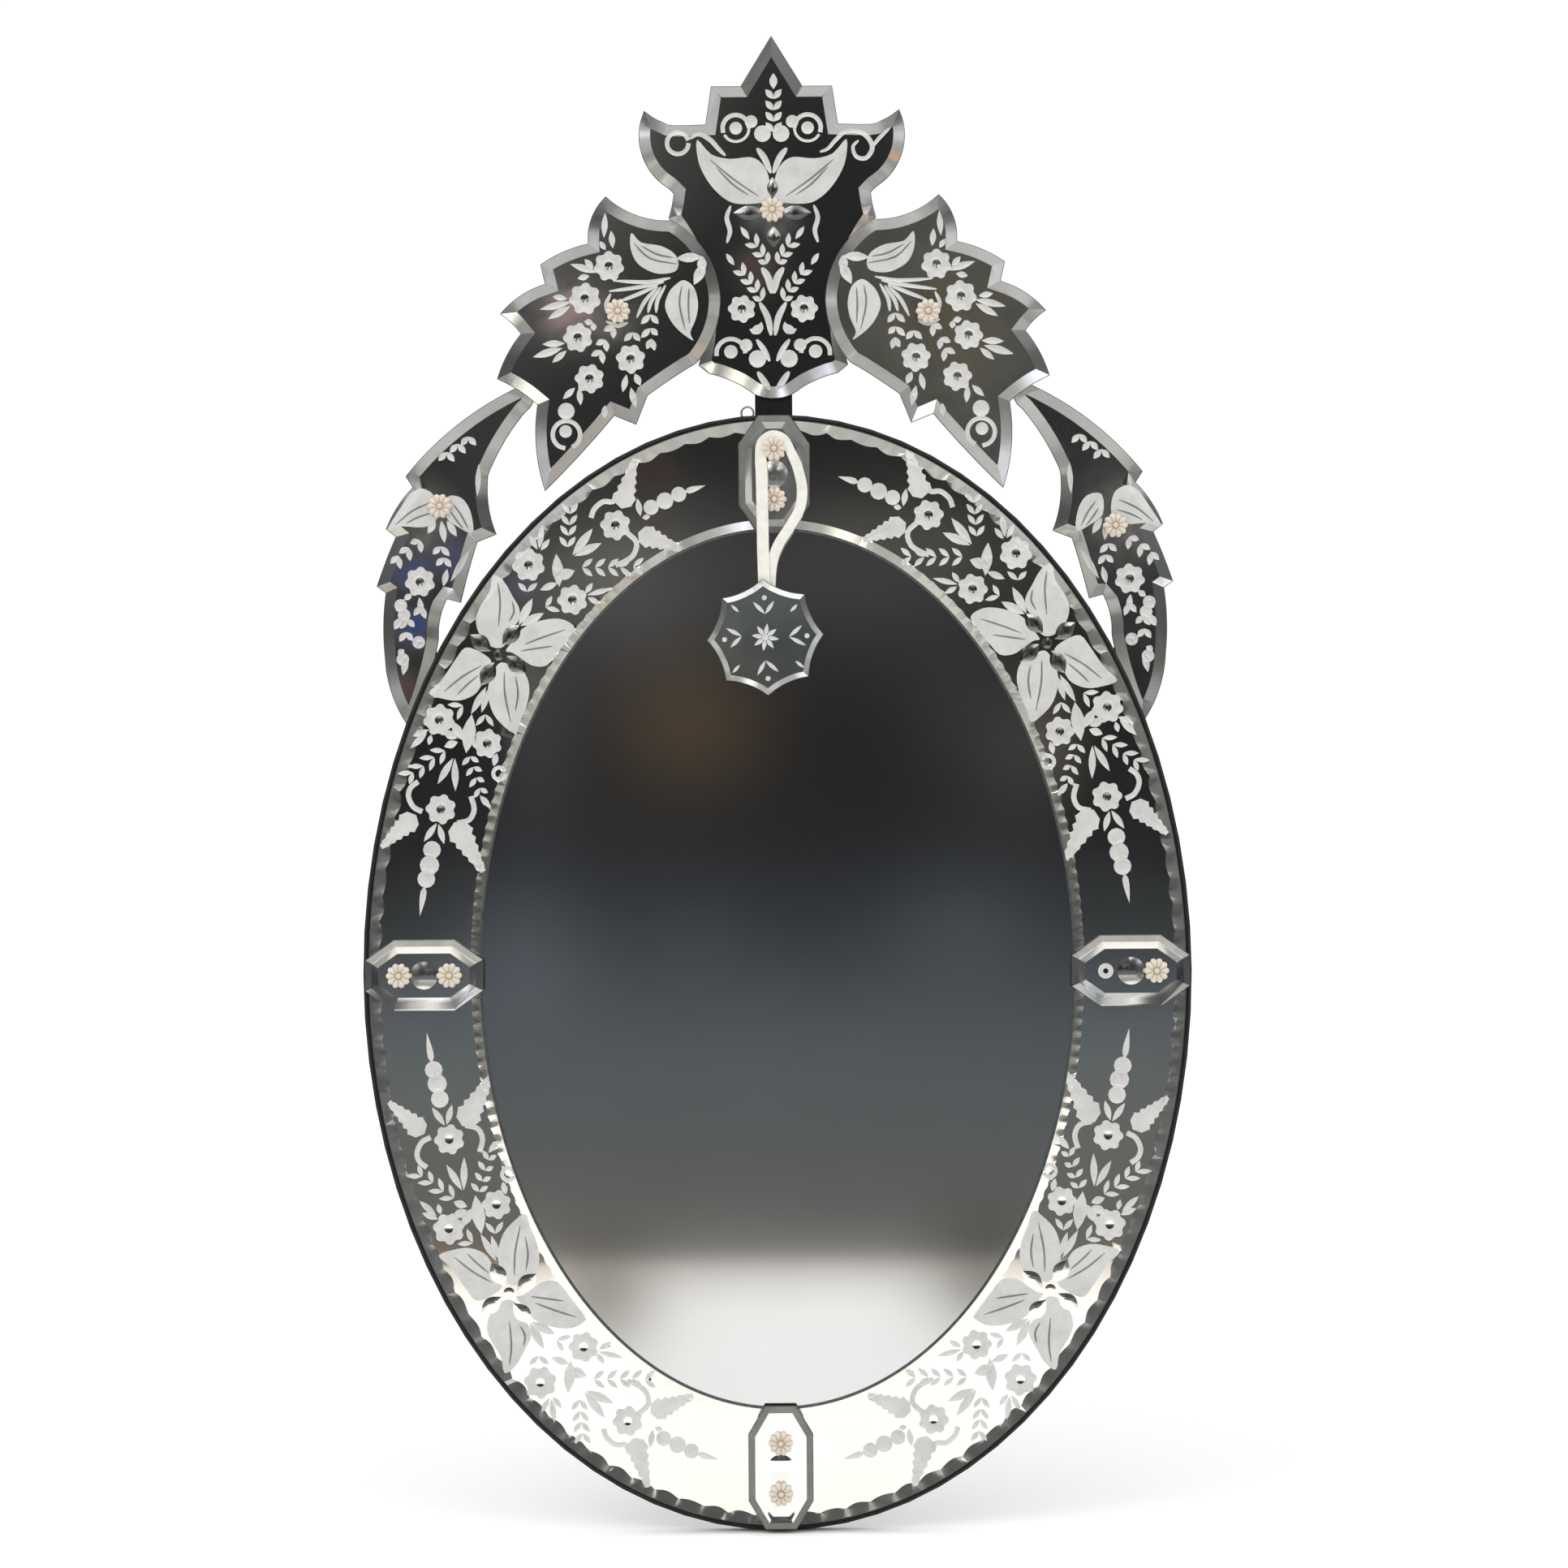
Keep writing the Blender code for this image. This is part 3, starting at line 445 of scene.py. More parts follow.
LENS_DEPTH = 0.13                 # as a share of its short side


def lens(u, v, long_side, short_side, degrees):
    """A polished oval cut, sharp at both ends."""
    turn = math.radians(degrees)
    du, dv = math.cos(turn) * long_side / 2, math.sin(turn) * long_side / 2
    outline = leaf(u - du, v - dv, u + du, v + dv, short_side, LENS, points=8)[0][0]
    depth = short_side * LENS_DEPTH
    floors = [
        [(u + (p[0] - u) * reach, v + (p[1] - v) * reach, depth * (1 - reach ** 2))
         for p in list(outline) + [outline[0]]]
        for reach in (0.75, 0.5, 0.25)
    ]
    return [(outline, floors + [[(u, v, depth)]], LENS)]


def petal(outline, veins):
    """A broad frosted petal with polished veins, drawn by its outline."""
    made = [(list(map(tuple, smooth_line(outline, 3, closed=True))), [], FROST)]
    for line in veins:
        made += stroke(line, VEIN_WIDTH, VEIN, depth=VEIN_DEPTH)
    return made


def scroll(u, v, radius, width, start, sweep):
    """A ring or part of one, by degrees."""
    count = max(4, int(abs(sweep) / 30) + 1)
    angles = [math.radians(start + sweep * i / count) for i in range(count + 1)]
    line = [(u + radius * math.cos(a), v + radius * math.sin(a)) for a in angles]
    return stroke(line, width, taper=False, steps=2)


def each(form, rows, *more):
    """The cuts of one form, from the rows of its table."""
    return [cut for row in rows for cut in form(*row, *more)]


def flowers(rows, turn):
    return [cut for i, row in enumerate(rows) for cut in flower(*row, turn + i)]


# The border's engraving, drawn on its upper left quarter

FLOWER_MIDDLE = (613, 811)
PETALS = [
    ([(620, 800), (605, 801), (590, 786), (585, 768), (590, 752), (602, 732), (606, 712), (620, 721),
      (630, 738), (639, 755), (637, 770), (628, 779)],
     [[(612, 722), (615, 745), (613, 776)], [(630, 745), (632, 758), (626, 770)]]),
    ([(622, 806), (628, 797), (642, 779), (660, 770), (682, 766), (697, 769), (707, 778), (698, 792),
      (686, 808), (672, 824), (655, 824), (642, 816), (630, 808)],
     [[(645, 798), (668, 789), (695, 780)], [(640, 806), (660, 803), (680, 800)]]),
    ([(604, 818), (588, 806), (572, 802), (561, 815), (551, 830), (541, 844), (527, 858), (545, 865),
      (565, 867), (583, 860), (592, 848), (599, 832)],
     [[(592, 824), (568, 838), (546, 856)], [(588, 836), (574, 848), (562, 860)]]),
    ([(616, 820), (606, 833), (600, 852), (602, 871), (611, 890), (633, 908), (640, 892), (648, 872),
      (651, 852), (646, 835), (632, 826)],
     [[(620, 832), (621, 860), (628, 894)], [(634, 838), (637, 858), (634, 880)]]),
]
LENS_CUTS = [
    (591, 796, 33, 20, 38), (629, 786, 33, 20, -48), (635, 823, 33, 20, 42), (600, 834, 33, 20, -60),
]
UPPER_FLOWERS = [(650, 700, 20.5), (704, 743, 19), (757, 651, 19)]
LOWER_FLOWERS = [(540, 891, 20), (599, 920, 18.5), (542, 1001, 19)]
UPPER_LEAVES = [
    (638, 774, 655, 741, 11), (640, 775, 669, 759, 11), (688, 727, 684, 686, 14),
    (683, 716, 707, 707, 14), (686, 722, 664, 731, 9), (663, 680, 667, 650, 8), (661, 681, 651, 663, 7),
    (665, 682, 676, 668, 7), (720, 735, 729, 722, 7), (722, 737, 753, 729, 7), (723, 740, 738, 748, 7),
    (704, 688, 729, 655, 11), (706, 689, 740, 673, 11), (788, 640, 784, 618, 8), (790, 642, 800, 640, 7),
]
LOWER_LEAVES = [
    (598, 850, 579, 884, 9), (601, 852, 592, 882, 8), (527, 903, 507, 911, 8), (525, 907, 504, 926, 8),
    (530, 909, 527, 922, 7), (573, 932, 580, 884, 17), (569, 916, 556, 893, 12),
    (562, 914, 545, 905, 11), (563, 918, 546, 924, 10), (557, 938, 538, 970, 9), (559, 938, 560, 979, 9),
    (590, 984, 603, 999, 8), (607, 948, 611, 932, 8), (537, 1018, 521, 1041, 8),
    (539, 1019, 546, 1044, 8),
]
UPPER_CHEVRONS = [
    (648, 733, 637, 722, 661, 722), (671, 752, 679, 738, 689, 757),
]
LOWER_CHEVRONS = [
    (569, 873, 550, 872, 562, 891), (597, 884, 585, 898, 607, 899), (547, 929, 528, 928, 541, 946),
    (534, 937, 515, 938, 528, 954), (521, 948, 502, 948, 516, 963), (508, 956, 488, 957, 503, 970),
    (578, 936, 568, 947, 589, 943), (582, 949, 573, 960, 593, 954), (586, 962, 577, 974, 596, 967),
    (590, 975, 583, 987, 600, 981),
]
UPPER_TENDRILS = [
    [(727, 642), (731, 631), (742, 622), (754, 622), (758, 612)],
    [(771, 660), (783, 672), (779, 688), (766, 697), (757, 700)],
]
LOWER_TENDRILS = [
    [(519, 1004), (508, 998), (502, 985), (505, 974), (514, 967)],
    [(562, 1018), (577, 1014), (583, 1001), (579, 985)],
]
UPPER_CONES = [(768, 618, 13, 781, 569), (797, 665, 13, 838, 681)]
LOWER_CONES = [(502, 1017, 13, 468, 1048), (566, 1030, 15, 594, 1078)]
UPPER_BEADS = [(801, 629, 9.5), (818, 621, 10.5), (835, 613, 9.5)]
LOWER_BEADS = [(531, 1051, 11), (528, 1070, 12), (524, 1087, 11)]
UPPER_SPIKE = (842, 610, 868, 602)
LOWER_SPIKE = (522, 1095, 516, 1133)
UPPER_LADDERS = [
    ([(701, 637), (700, 651), (699, 664), (698, 678)], (0, -13), 10),
    ([(716, 703), (732, 703), (748, 703), (763, 703), (779, 702)], (13, 0), 11),
]
# Each quarter was engraved by hand, so its drawing sits a little inwards and away from
# the middle of the oval: (towards the upright axis, away from the level axis), in units.
QUARTER_SHIFTS = {
    "upper_left": (0, 0), "upper_right": (6, 10), "lower_left": (7.5, -2), "lower_right": (7.5, -1.5),
}


def spray(blossoms, leaves, chevrons, tendrils, cones, beads, spike):
    cuts = flowers(blossoms, 0.3) + each(leaf, leaves) + each(chevron, chevrons)
    for line in tendrils:
        cuts += stroke(line, 6.5, taper=False)
    return cuts + each(cone, cones) + each(disc, beads) + leaf(*spike, 8, fullest=0.3)


def border_drawing():
    cuts = each(petal, PETALS) + each(lens, LENS_CUTS) + disc(*FLOWER_MIDDLE, 7, LENS, depth=1.4)
    cuts += spray(UPPER_FLOWERS, UPPER_LEAVES, UPPER_CHEVRONS, UPPER_TENDRILS,
                  UPPER_CONES, UPPER_BEADS, UPPER_SPIKE)
    cuts += spray(LOWER_FLOWERS, LOWER_LEAVES, LOWER_CHEVRONS, LOWER_TENDRILS,
                  LOWER_CONES, LOWER_BEADS, LOWER_SPIKE)
    return cuts + each(ladder, UPPER_LADDERS) + scroll(614, 957, 7.5, 5, 0, 340)


def quarter_place(quarter):
    """Maps the drawing of the upper left quarter to (x, z) on any quarter."""
    inward, away = QUARTER_SHIFTS[quarter]
    c, s = math.cos(DRAWN_TURN), math.sin(DRAWN_TURN)
    flip_x = 1 if quarter.endswith("left") else -1
    flip_z = 1 if quarter.startswith("upper") else -1

    def place(u, v):
        across, up = u - DRAWN_MIDDLE[0], DRAWN_MIDDLE[1] - v
        x, z = across * c + up * s + inward, -across * s + up * c + away
        return flip_x * x * UNIT, OVAL_MIDDLE + flip_z * z * UNIT

    return place


def crest_place(u, v):
    return (u - CREST_AXIS) * UNIT, OVAL_MIDDLE + (DRAWN_MIDDLE[1] - v) * UNIT


# Engraved plates

class Plate:
    """A glass plate: its rim, the edge lines of its flat, and the cuts in it."""

    def __init__(self, name, rim, flat, front, back):
        self.name, self.front, self.back = name, front, back
        self.rim, self.flat = rim, flat
        self.points, self.depths = [], []
        self.edges, self.faces, self.finishes = [], [], []
        self.bevelled, self.bevel = [], None
        self.band, self.band_finishes = [], (BEVEL, BEVEL)
        self.hollows = []

    def line(self, points, depths, closed):
        first = len(self.points)
        self.points += [(float(x), float(z)) for x, z in points]
        self.depths += list(depths)
        count = len(points)
        if closed:
            self.faces.append(list(range(first, first + count)))
        else:
            self.edges += [(first + i, first + i + 1) for i in range(count - 1)]

    def base(self, points):
        """Depth of the uncut face below the flat, which is more in a bevel."""
        if not len(points) or self.bevel is None:
            return np.zeros(len(points))
        drop = self.back - self.front - BEVEL_EDGE
        found = np.zeros(len(points))
        for line, closed in self.bevelled:
            far = distances(points, line, closed)
            found = np.maximum(found, drop * np.clip(1 - far / self.bevel, 0.0, 1.0))
        return found

    def cut(self, cuts, place):
        for outline, ridges, finish in cuts:
            points = counterclockwise([place(u, v) for u, v in outline])
            first = len(self.points)
            self.line(points, self.base(points), True)
            self.finishes.append(finish)
            if finish == LENS:
                own = range(first, first + len(points) + sum(len(ridge) for ridge in ridges))
                deepest = UNIT * max(d for ridge in ridges for _, _, d in ridge)
                half = float(distances([tuple(np.mean(points, axis=0))], points)[0])
                self.hollows.append((points, deepest, half, own))
            for ridge in ridges:
                spots = [place(u, v) for u, v, _ in ridge]
                deeper = np.array([d * UNIT for _, _, d in ridge])
                self.line(spots, self.base(spots) + deeper, False)

    def spokes(self, loop, sharp=math.radians(24)):
        """Ridges from the outward corners of the outline to the flat's corners."""
        flat = np.array([(x, z) for x, z, _ in self.flat])
        for i, here in enumerate(loop):
            before, after = loop[i - 1], loop[(i + 1) % len(loop)]
            a = (here[0] - before[0], here[1] - before[1])
            b = (after[0] - here[0], after[1] - here[1])
            if math.atan2(a[0] * b[1] - a[1] * b[0], a[0] * b[0] + a[1] * b[1]) < sharp:
                continue
            end = flat[np.linalg.norm(flat - here, axis=1).argmin()]
            spots = [tuple(np.array(here) + (end - here) * t) for t in (0.0, 0.2, 0.4, 0.6, 0.8, 1.0)]
            self.line(spots, self.base(spots), False)

    def hollow(self, x, z):
        """How deep the polished hollows are at a point."""
        for outline, deepest, half, _ in self.hollows:
            u, v = outline[0]
            if math.hypot(x - u, z - v) < 8 * half and within((x, z), outline):
                share = min(1.0, float(distances([(x, z)], outline)[0]) / half)
                return deepest * share * (2 - share)
        return 0.0

    def sink(self):
        """Lets the corners of other cuts follow the polished hollows that they lie in."""
        own = {i for hollow in self.hollows for i in hollow[3]}
        for i, (x, z) in enumerate(self.points):
            deep = 0.0 if i in own else self.hollow(x, z)
            if deep > 0.0:
                self.depths[i] = float(self.base([(x, z)])[0]) + deep

    def facet(self, points, finish):
        """A part of the face with another finish and no depth of its own."""
        points = counterclockwise([tuple(p) for p in points])
        self.line(points, self.base(points), True)
        self.finishes.append(finish)

    def split_bevel(self, loop, outer, inner):
        """Gives the bevel one finish outside a loop and another between it and the flat."""
        self.band = [(x, z, d) for (x, z), d in zip(loop, self.base(loop))]
        self.band_finishes = (outer, inner)

    def finish_of(self, owner, first_cut):
        finish = self.band_finishes[0]
        if 1 in owner:
            finish = FLAT
        elif self.band and 2 in owner:
            finish = self.band_finishes[1]
        for k in owner:
            if k >= first_cut and RANK[self.finishes[k - first_cut]] > RANK[finish]:
                finish = self.finishes[k - first_cut]
        return finish

    def mesh(self):
        self.sink()
        points, depths, faces = [], [], []
        for base in (self.rim, self.flat, self.band):
            if base:
                faces.append(list(range(len(points), len(points) + len(base))))
                points += [(x, z) for x, z, _ in base]
                depths += [d for _, _, d in base]
        shift, first_cut = len(points), len(faces)
        points += self.points
        depths += self.depths
        faces += [[i + shift for i in face] for face in self.faces]
        edges = [(a + shift, b + shift) for a, b in self.edges]
        coords = [Vector(p) for p in points]
        out, _, tris, origins, _, owners = delaunay_2d_cdt(coords, edges, faces, 0, 1e-6)
        new = [i for i, group in enumerate(origins) if not group]
        new_depths = {
            i: deep + self.hollow(*out[i]) for i, deep in zip(new, self.base([tuple(out[i]) for i in new]))
        }
        bm = bmesh.new()
        verts = []
        for i, p in enumerate(out):
            deep = depths[origins[i][0]] if origins[i] else new_depths[i]
            verts.append(bm.verts.new((p.x, self.front + deep, p.y)))
        for tri, owner in zip(tris, owners):
            if 0 not in owner:
                continue
            made = bm.faces.new([verts[i] for i in tri])
            made.material_index = self.finish_of(owner, first_cut)
        used = {v for f in bm.faces for v in f.verts}
        at = {}
        for i, group in enumerate(origins):
            for source in group:
                at[source] = i
        rim = self.rim_walk(out, at, verts, used)
        rear = [bm.verts.new((v.co.x, self.back, v.co.z)) for v in rim]
        for i in range(len(rim)):
            j = (i + 1) % len(rim)
            bm.faces.new((rim[i], rear[i], rear[j], rim[j])).material_index = EDGE
        cap = bm.faces.new(rear[::-1])
        cap.normal_update()
        cap.material_index = PAINT
        bmesh.ops.triangulate(bm, faces=[cap])
        loose = [v for v in bm.verts if not v.link_faces]
        bmesh.ops.delete(bm, geom=loose, context="VERTS")
        bm.normal_update()
        for face in bm.faces:
            face.smooth = True
        for edge in bm.edges:
            a, b = edge.link_faces[:2]
            bend = a.normal.angle(b.normal, 0.0)
            edge.smooth = a.material_index == b.material_index and bend < SHARP_BEND
        return mesh_from(bm, self.name)

    def rim_walk(self, out, at, verts, used):
        """The front vertices along the rim, those that cuts added among them."""
        border = {}
        for v in used:
            for e in v.link_edges:
                if len(e.link_faces) == 1:
                    face = e.link_faces[0]
                    order = list(face.verts)
                    a, b = e.verts
                    if order[(order.index(a) + 1) % 3] is not b:
                        a, b = b, a
                    border[a] = b
        start = verts[at[0]]
        walk = [start]
        while border[walk[-1]] is not start:
            walk.append(border[walk[-1]])
        return walk


def show(name, mesh, looks, replaced, angle=None):
    for look in looks:
        mesh.materials.append(look)
    if angle is not None:
        mesh.shade_smooth()
        mesh.set_sharp_from_angle(angle=math.radians(angle))
    made = placed(name, mesh)
    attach(made, "root")
    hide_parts(*replaced)
    return made


def bevelled_plate(name, node, bevel, cuts, place, looks, shade_band_test=None):
    """A plate with the outline and depth of its CAD node, bevelled all round. The outer half
    of the bevel is painted grey, as painted shade, along those edges whose outward direction passes the
    test."""
    low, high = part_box(node)
    loop = softened(back_outline(node))
    drop = high.y - low.y - BEVEL_EDGE
    rim = [(x, z, drop) for x, z in loop]
    flat = [(x, z, 0.0) for x, z in inset(loop, bevel)]
    plate = Plate(name, rim, flat, low.y, high.y)
    plate.bevel, plate.bevelled = bevel, [(loop, True)]
    plate.spokes(loop)
    # painted shade: a thin dark line along the rim, in the glass-edge finish
    plate.split_bevel(inset(loop, OUTER_ARRIS), EDGE, BEVEL)
    # painted shade: the outer half of the bevel is grey along the chosen edges
    if shade_band_test is not None:
        halfway, arris = mitred(loop, bevel / 2), mitred(loop, OUTER_ARRIS)
        for i in range(len(loop)):
            j = (i + 1) % len(loop)
            run = np.array(loop[j]) - loop[i]
            if shade_band_test(run[1] / np.linalg.norm(run), -run[0] / np.linalg.norm(run)):
                plate.facet([arris[i], arris[j], halfway[j], halfway[i]], PAINTED_SHADE_BAND)
    plate.cut(cuts, place)
    return show(name, plate.mesh(), looks, [node])


def ellipse_line(half, middle, inwards, start, end, step):
    """Points on an ellipse, or inside it along its normal, with each point's run along it."""
    count = 2000
    angles = np.linspace(start, end, count)
    x, z = half[0] * np.cos(angles), half[1] * np.sin(angles)
    nx, nz = np.cos(angles) / half[0], np.sin(angles) / half[1]
    size = np.hypot(nx, nz)
    run = np.r_[0.0, np.hypot(np.diff(x), np.diff(z)).cumsum()]
    wanted = np.linspace(0.0, run[-1], max(2, round(run[-1] / step)) + 1)
    far = inwards(wanted) if callable(inwards) else np.full(len(wanted), inwards)
    px, pz = np.interp(wanted, run, x), np.interp(wanted, run, z)
    ux, uz = np.interp(wanted, run, nx / size), np.interp(wanted, run, nz / size)
    return np.stack([px - far * ux, middle + pz - far * uz], 1)


def scallops(run):
    """Width of the outer bevel, whose inner line swings in round lobes of uneven size."""
    uneven = 0.85 + 0.25 * np.sin(run * 131.0) + 0.15 * np.sin(run * 57.0 + 1.0)
    return BORDER_BEVEL + SCALLOP_DEPTH * uneven * (np.abs(np.cos(math.pi * run / SCALLOP_STEP)) - 0.6)


def teeth(run, top):
    """Width of the inner bevel, with its cusps, which fade out towards the run at the top of
    the opening; negative, as it grows away from the opening."""
    share = (run / TOOTH_STEP) % 1.0
    depth = TOOTH_DEPTH * np.clip((np.abs(run - top) - TOOTHLESS) / TOOTHLESS, 0.0, 1.0)
    return -(BORDER_BEVEL - 0.0008 + depth * (np.abs(2 * share - 1) ** 1.6 - 0.5))


def scoop_lobes(plate, half, start, end, shift):
    """Hollows each lobe of the outer bevel a little."""
    run, step = 0.0, 0.0004
    fine = ellipse_line(half, OVAL_MIDDLE, BORDER_BEVEL * LOBE_HOLLOW_PLACE, start, end, step) + shift
    runs = np.r_[0.0, np.linalg.norm(np.diff(fine, axis=0), axis=1).cumsum()]
    whole = ellipse_line(half, OVAL_MIDDLE, 0.0, start, end, step)
    scale = runs[-1] / np.linalg.norm(np.diff(whole, axis=0), axis=1).sum()
    while run < runs[-1]:
        at = np.linspace(run - 0.28 * SCALLOP_STEP, run + 0.28 * SCALLOP_STEP, 7) * scale
        at = at[(at > 0.002) & (at < runs[-1] - 0.002)]
        if len(at) > 1:
            spots = np.stack([np.interp(at, runs, fine[:, k]) for k in (0, 1)], 1)
            swell = np.cos(math.pi * (at / scale - run) / (0.62 * SCALLOP_STEP))
            plate.line(spots, plate.base(spots) + LOBE_HOLLOW * swell, False)
        run += SCALLOP_STEP


def border_plate(quarter, turn, looks):
    node = "border_" + quarter
    low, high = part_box(node)
    start, end = turn * math.pi / 2, (turn + 1) * math.pi / 2
    middle = (start + end) / 2
    shift = np.array([math.copysign(JOINT_GAP / 2, way(middle)) for way in (math.cos, math.sin)])
    outer_half = (OVAL_HALF[0] - RIM_REVEAL, OVAL_HALF[1] - RIM_REVEAL)

    def outside(inwards, step=0.0035):
        return ellipse_line(outer_half, OVAL_MIDDLE, inwards, start, end, step) + shift

    def opening(inwards, step=0.0030):
        return ellipse_line(OPENING_HALF, OPENING_MIDDLE, inwards, start, end, step) + shift

    outer, outer_line = outside(0.0), outside(scallops, 0.0012)
    inner = opening(0.0)
    # How far along the inner line the opening's top is: off its end on the lower quarters
    whole = np.linalg.norm(np.diff(inner, axis=0), axis=1).sum()
    top = (whole, 0.0, -1.0, -1.0)[turn]
    inner, inner_line = inner[::-1], opening(lambda run: teeth(run, top), 0.0008)[::-1]
    drop = high.y - low.y - BEVEL_EDGE
    rim = (
        [(x, z, drop) for x, z in outer]
        + [(*outer_line[-1], 0.0), (*inner_line[0], 0.0)]
        + [(x, z, drop) for x, z in inner]
        + [(*inner_line[-1], 0.0), (*outer_line[0], 0.0)]
    )
    flat = [(x, z, 0.0) for x, z in [*outer_line, *inner_line]]
    plate = Plate(node + "_engraved", rim, flat, low.y, high.y)
    plate.bevel = BORDER_BEVEL
    plate.bevelled = [(outer, False), (inner, False)]
    scoop_lobes(plate, outer_half, start, end, shift)
    # painted shade: dark lines in the glass-edge finish along the opening and along the outer edge
    plate.facet([*inner, *opening(-INNER_ARRIS)], EDGE)
    plate.facet([*outer, *outside(OUTER_ARRIS)[::-1]], EDGE)
    plate.cut(border_drawing(), quarter_place(quarter))
    show(node + "_engraved", plate.mesh(), looks, [node])


# The crest's engraving

def both_sides(cuts):
    """Cuts and their mirror image about the crest's middle line."""
    span = 2 * CREST_AXIS
    return cuts + [(
        [(span - u, v) for u, v in outline],
        [[(span - u, v, d) for u, v, d in ridge] for ridge in ridges],
        finish,
    ) for outline, ridges, finish in cuts]


CREST_BIG_LEAF = [
    (862, 171), (879, 189), (902, 195), (928, 193), (942, 201), (950, 216), (953, 246), (938, 250),
    (915, 251), (900, 247), (884, 234), (871, 216), (863, 196),
]
CREST_VEINS = [[(878, 196), (905, 219), (938, 242)], [(885, 205), (905, 226), (925, 240)]]
EAR_APEXES = [(957, 121), (957, 135), (957, 149), (957, 162)]
CREST_LEAVES = [
    (926, 295, 915, 279, 7), (907, 327, 897, 312, 7), (928, 412, 938, 400, 8),
]
CREST_CHEVRONS = [
    (936, 304, 934, 287, 920, 301), (943, 316, 942, 300, 929, 312), (948, 325, 949, 310, 936, 321),
    (920, 339, 917, 323, 905, 334), (928, 350, 927, 334, 914, 345), (935, 360, 936, 344, 922, 355),
    (941, 371, 943, 354, 929, 366), (938, 412, 940, 397, 925, 406),
]
CREST_STEMS = [
    ([(936, 182), (945, 194), (953, 213)], 8), ([(941, 330), (949, 343), (953, 362)], 9),
    ([(938, 373), (948, 392), (952, 414)], 8), ([(934, 419), (943, 432), (950, 446)], 7),
    ([(935, 459), (943, 471), (950, 481)], 8), ([(903, 253), (898, 268), (902, 284), (898, 299)], 6),
]
HORN_LEFT = [(852, 170), (864, 164), (878, 171), (888, 182), (897, 191)]
HORN_RIGHT = [
    (1014, 187), (1024, 183), (1034, 172), (1046, 162), (1062, 162), (1074, 170), (1079, 183),
    (1071, 195), (1059, 193), (1055, 181), (1062, 173),
]
HORN_TAIL = [(1077, 184), (1088, 170), (1101, 158)]


CREST_UPPER_DISCS = [(910, 157, 8), (929, 149, 8), (943, 164, 10.5)]
CREST_LOWER_DISCS = [(902, 434, 8.5), (921, 426, 8), (935, 443, 11)]


def crest_drawing():
    half = petal(CREST_BIG_LEAF, CREST_VEINS)
    half += scroll(910, 157, 16.5, 5.5, 160, 200) + scroll(910, 157, 16.5, 3.5, 0, 150)
    half += each(disc, CREST_UPPER_DISCS)
    half += scroll(902, 436, 18, 5.5, 170, 190) + each(disc, CREST_LOWER_DISCS)
    half += lens(926, 262, 40, 18, 0) + flower(916, 381, 17.5, 0.5) + each(stroke, CREST_STEMS)
    half += each(leaf, CREST_LEAVES) + each(chevron, CREST_CHEVRONS, 7)
    cuts = both_sides(half)
    cuts += leaf(957, 109, 957, 89, 10) + ladder(EAR_APEXES, (0, -12), 10, 8)
    cuts += lens(955, 231, 26, 14, 90) + lens(956, 292, 26, 18, 90)
    cuts += scroll(838, 175, 13.5, 5.5, 0, 345)
    return cuts + stroke(HORN_LEFT, 6) + stroke(HORN_RIGHT, 6, steps=4) + stroke(HORN_TAIL, 5)


LEAF_FROSTED = [
    ([(780, 287), (792, 299), (815, 303), (832, 312), (838, 324), (834, 335), (815, 338), (799, 333),
      (786, 323), (779, 306)],
     [[(783, 300), (803, 319), (836, 326)], [(792, 303), (812, 314), (832, 318)]]),
    ([(835, 351), (845, 346), (857, 355), (862, 375), (859, 394), (852, 411), (856, 421), (840, 410),
      (828, 396), (821, 378), (826, 361)],
     [[(842, 353), (839, 376), (846, 408)], [(851, 356), (850, 376), (851, 400)]]),
]
LEAF_FLOWERS = [(752, 328, 19), (722, 368, 20), (713, 416, 18.5), (727, 467, 18.5), (778, 443, 18.5)]
LEAF_CHEVRONS = [
    (803, 388, 791, 400, 813, 400), (803, 405, 791, 417, 812, 414), (804, 418, 798, 431, 808, 433),
    (781, 410, 770, 421, 790, 421), (757, 402, 745, 408, 757, 418), (747, 419, 735, 425, 749, 434),
    (742, 432, 729, 439, 744, 449), (732, 398, 721, 396, 733, 408),
]
LEAF_LEAVES = [
    (746, 293, 748, 262, 8), (757, 306, 755, 284, 8), (748, 308, 741, 297, 7), (835, 319, 868, 317, 12),
    (857, 352, 871, 324, 13), (866, 336, 868, 316, 12), (738, 336, 704, 325, 9), (733, 331, 722, 319, 8),
    (728, 340, 713, 343, 8), (705, 372, 666, 381, 9), (704, 377, 676, 393, 9), (700, 368, 682, 365, 8),
    (697, 423, 669, 424, 9), (694, 429, 657, 440, 10), (699, 432, 681, 447, 8), (714, 478, 716, 500, 8),
    (709, 478, 694, 492, 8), (773, 462, 768, 484, 8), (783, 461, 790, 476, 9), (746, 500, 745, 516, 8),
    (778, 478, 784, 503, 9),
]
LEAF_STEMS = [
    [(828, 343), (800, 348), (757, 346)], [(820, 348), (790, 354), (752, 359)],
    [(812, 352), (790, 362), (764, 372)], [(812, 354), (796, 372), (786, 392)],
    [(816, 354), (804, 372), (800, 386)], [(822, 352), (812, 370), (810, 386)],
    [(775, 398), (762, 402), (748, 396)], [(754, 362), (748, 376), (752, 390)],
]
WING_FROSTED = [
    ([(533, 610), (517, 600), (503, 606), (490, 624), (473, 652), (492, 647), (520, 648), (536, 637)],
     [[(527, 618), (505, 628), (484, 645)], [(530, 630), (512, 636), (498, 643)]]),
    ([(548, 611), (566, 612), (577, 628), (581, 652), (576, 656), (562, 648), (547, 636)],
     [[(556, 620), (566, 634), (574, 650)], [(552, 628), (560, 640), (568, 650)]]),
]
WING_FLOWERS = [(514, 716, 19)]
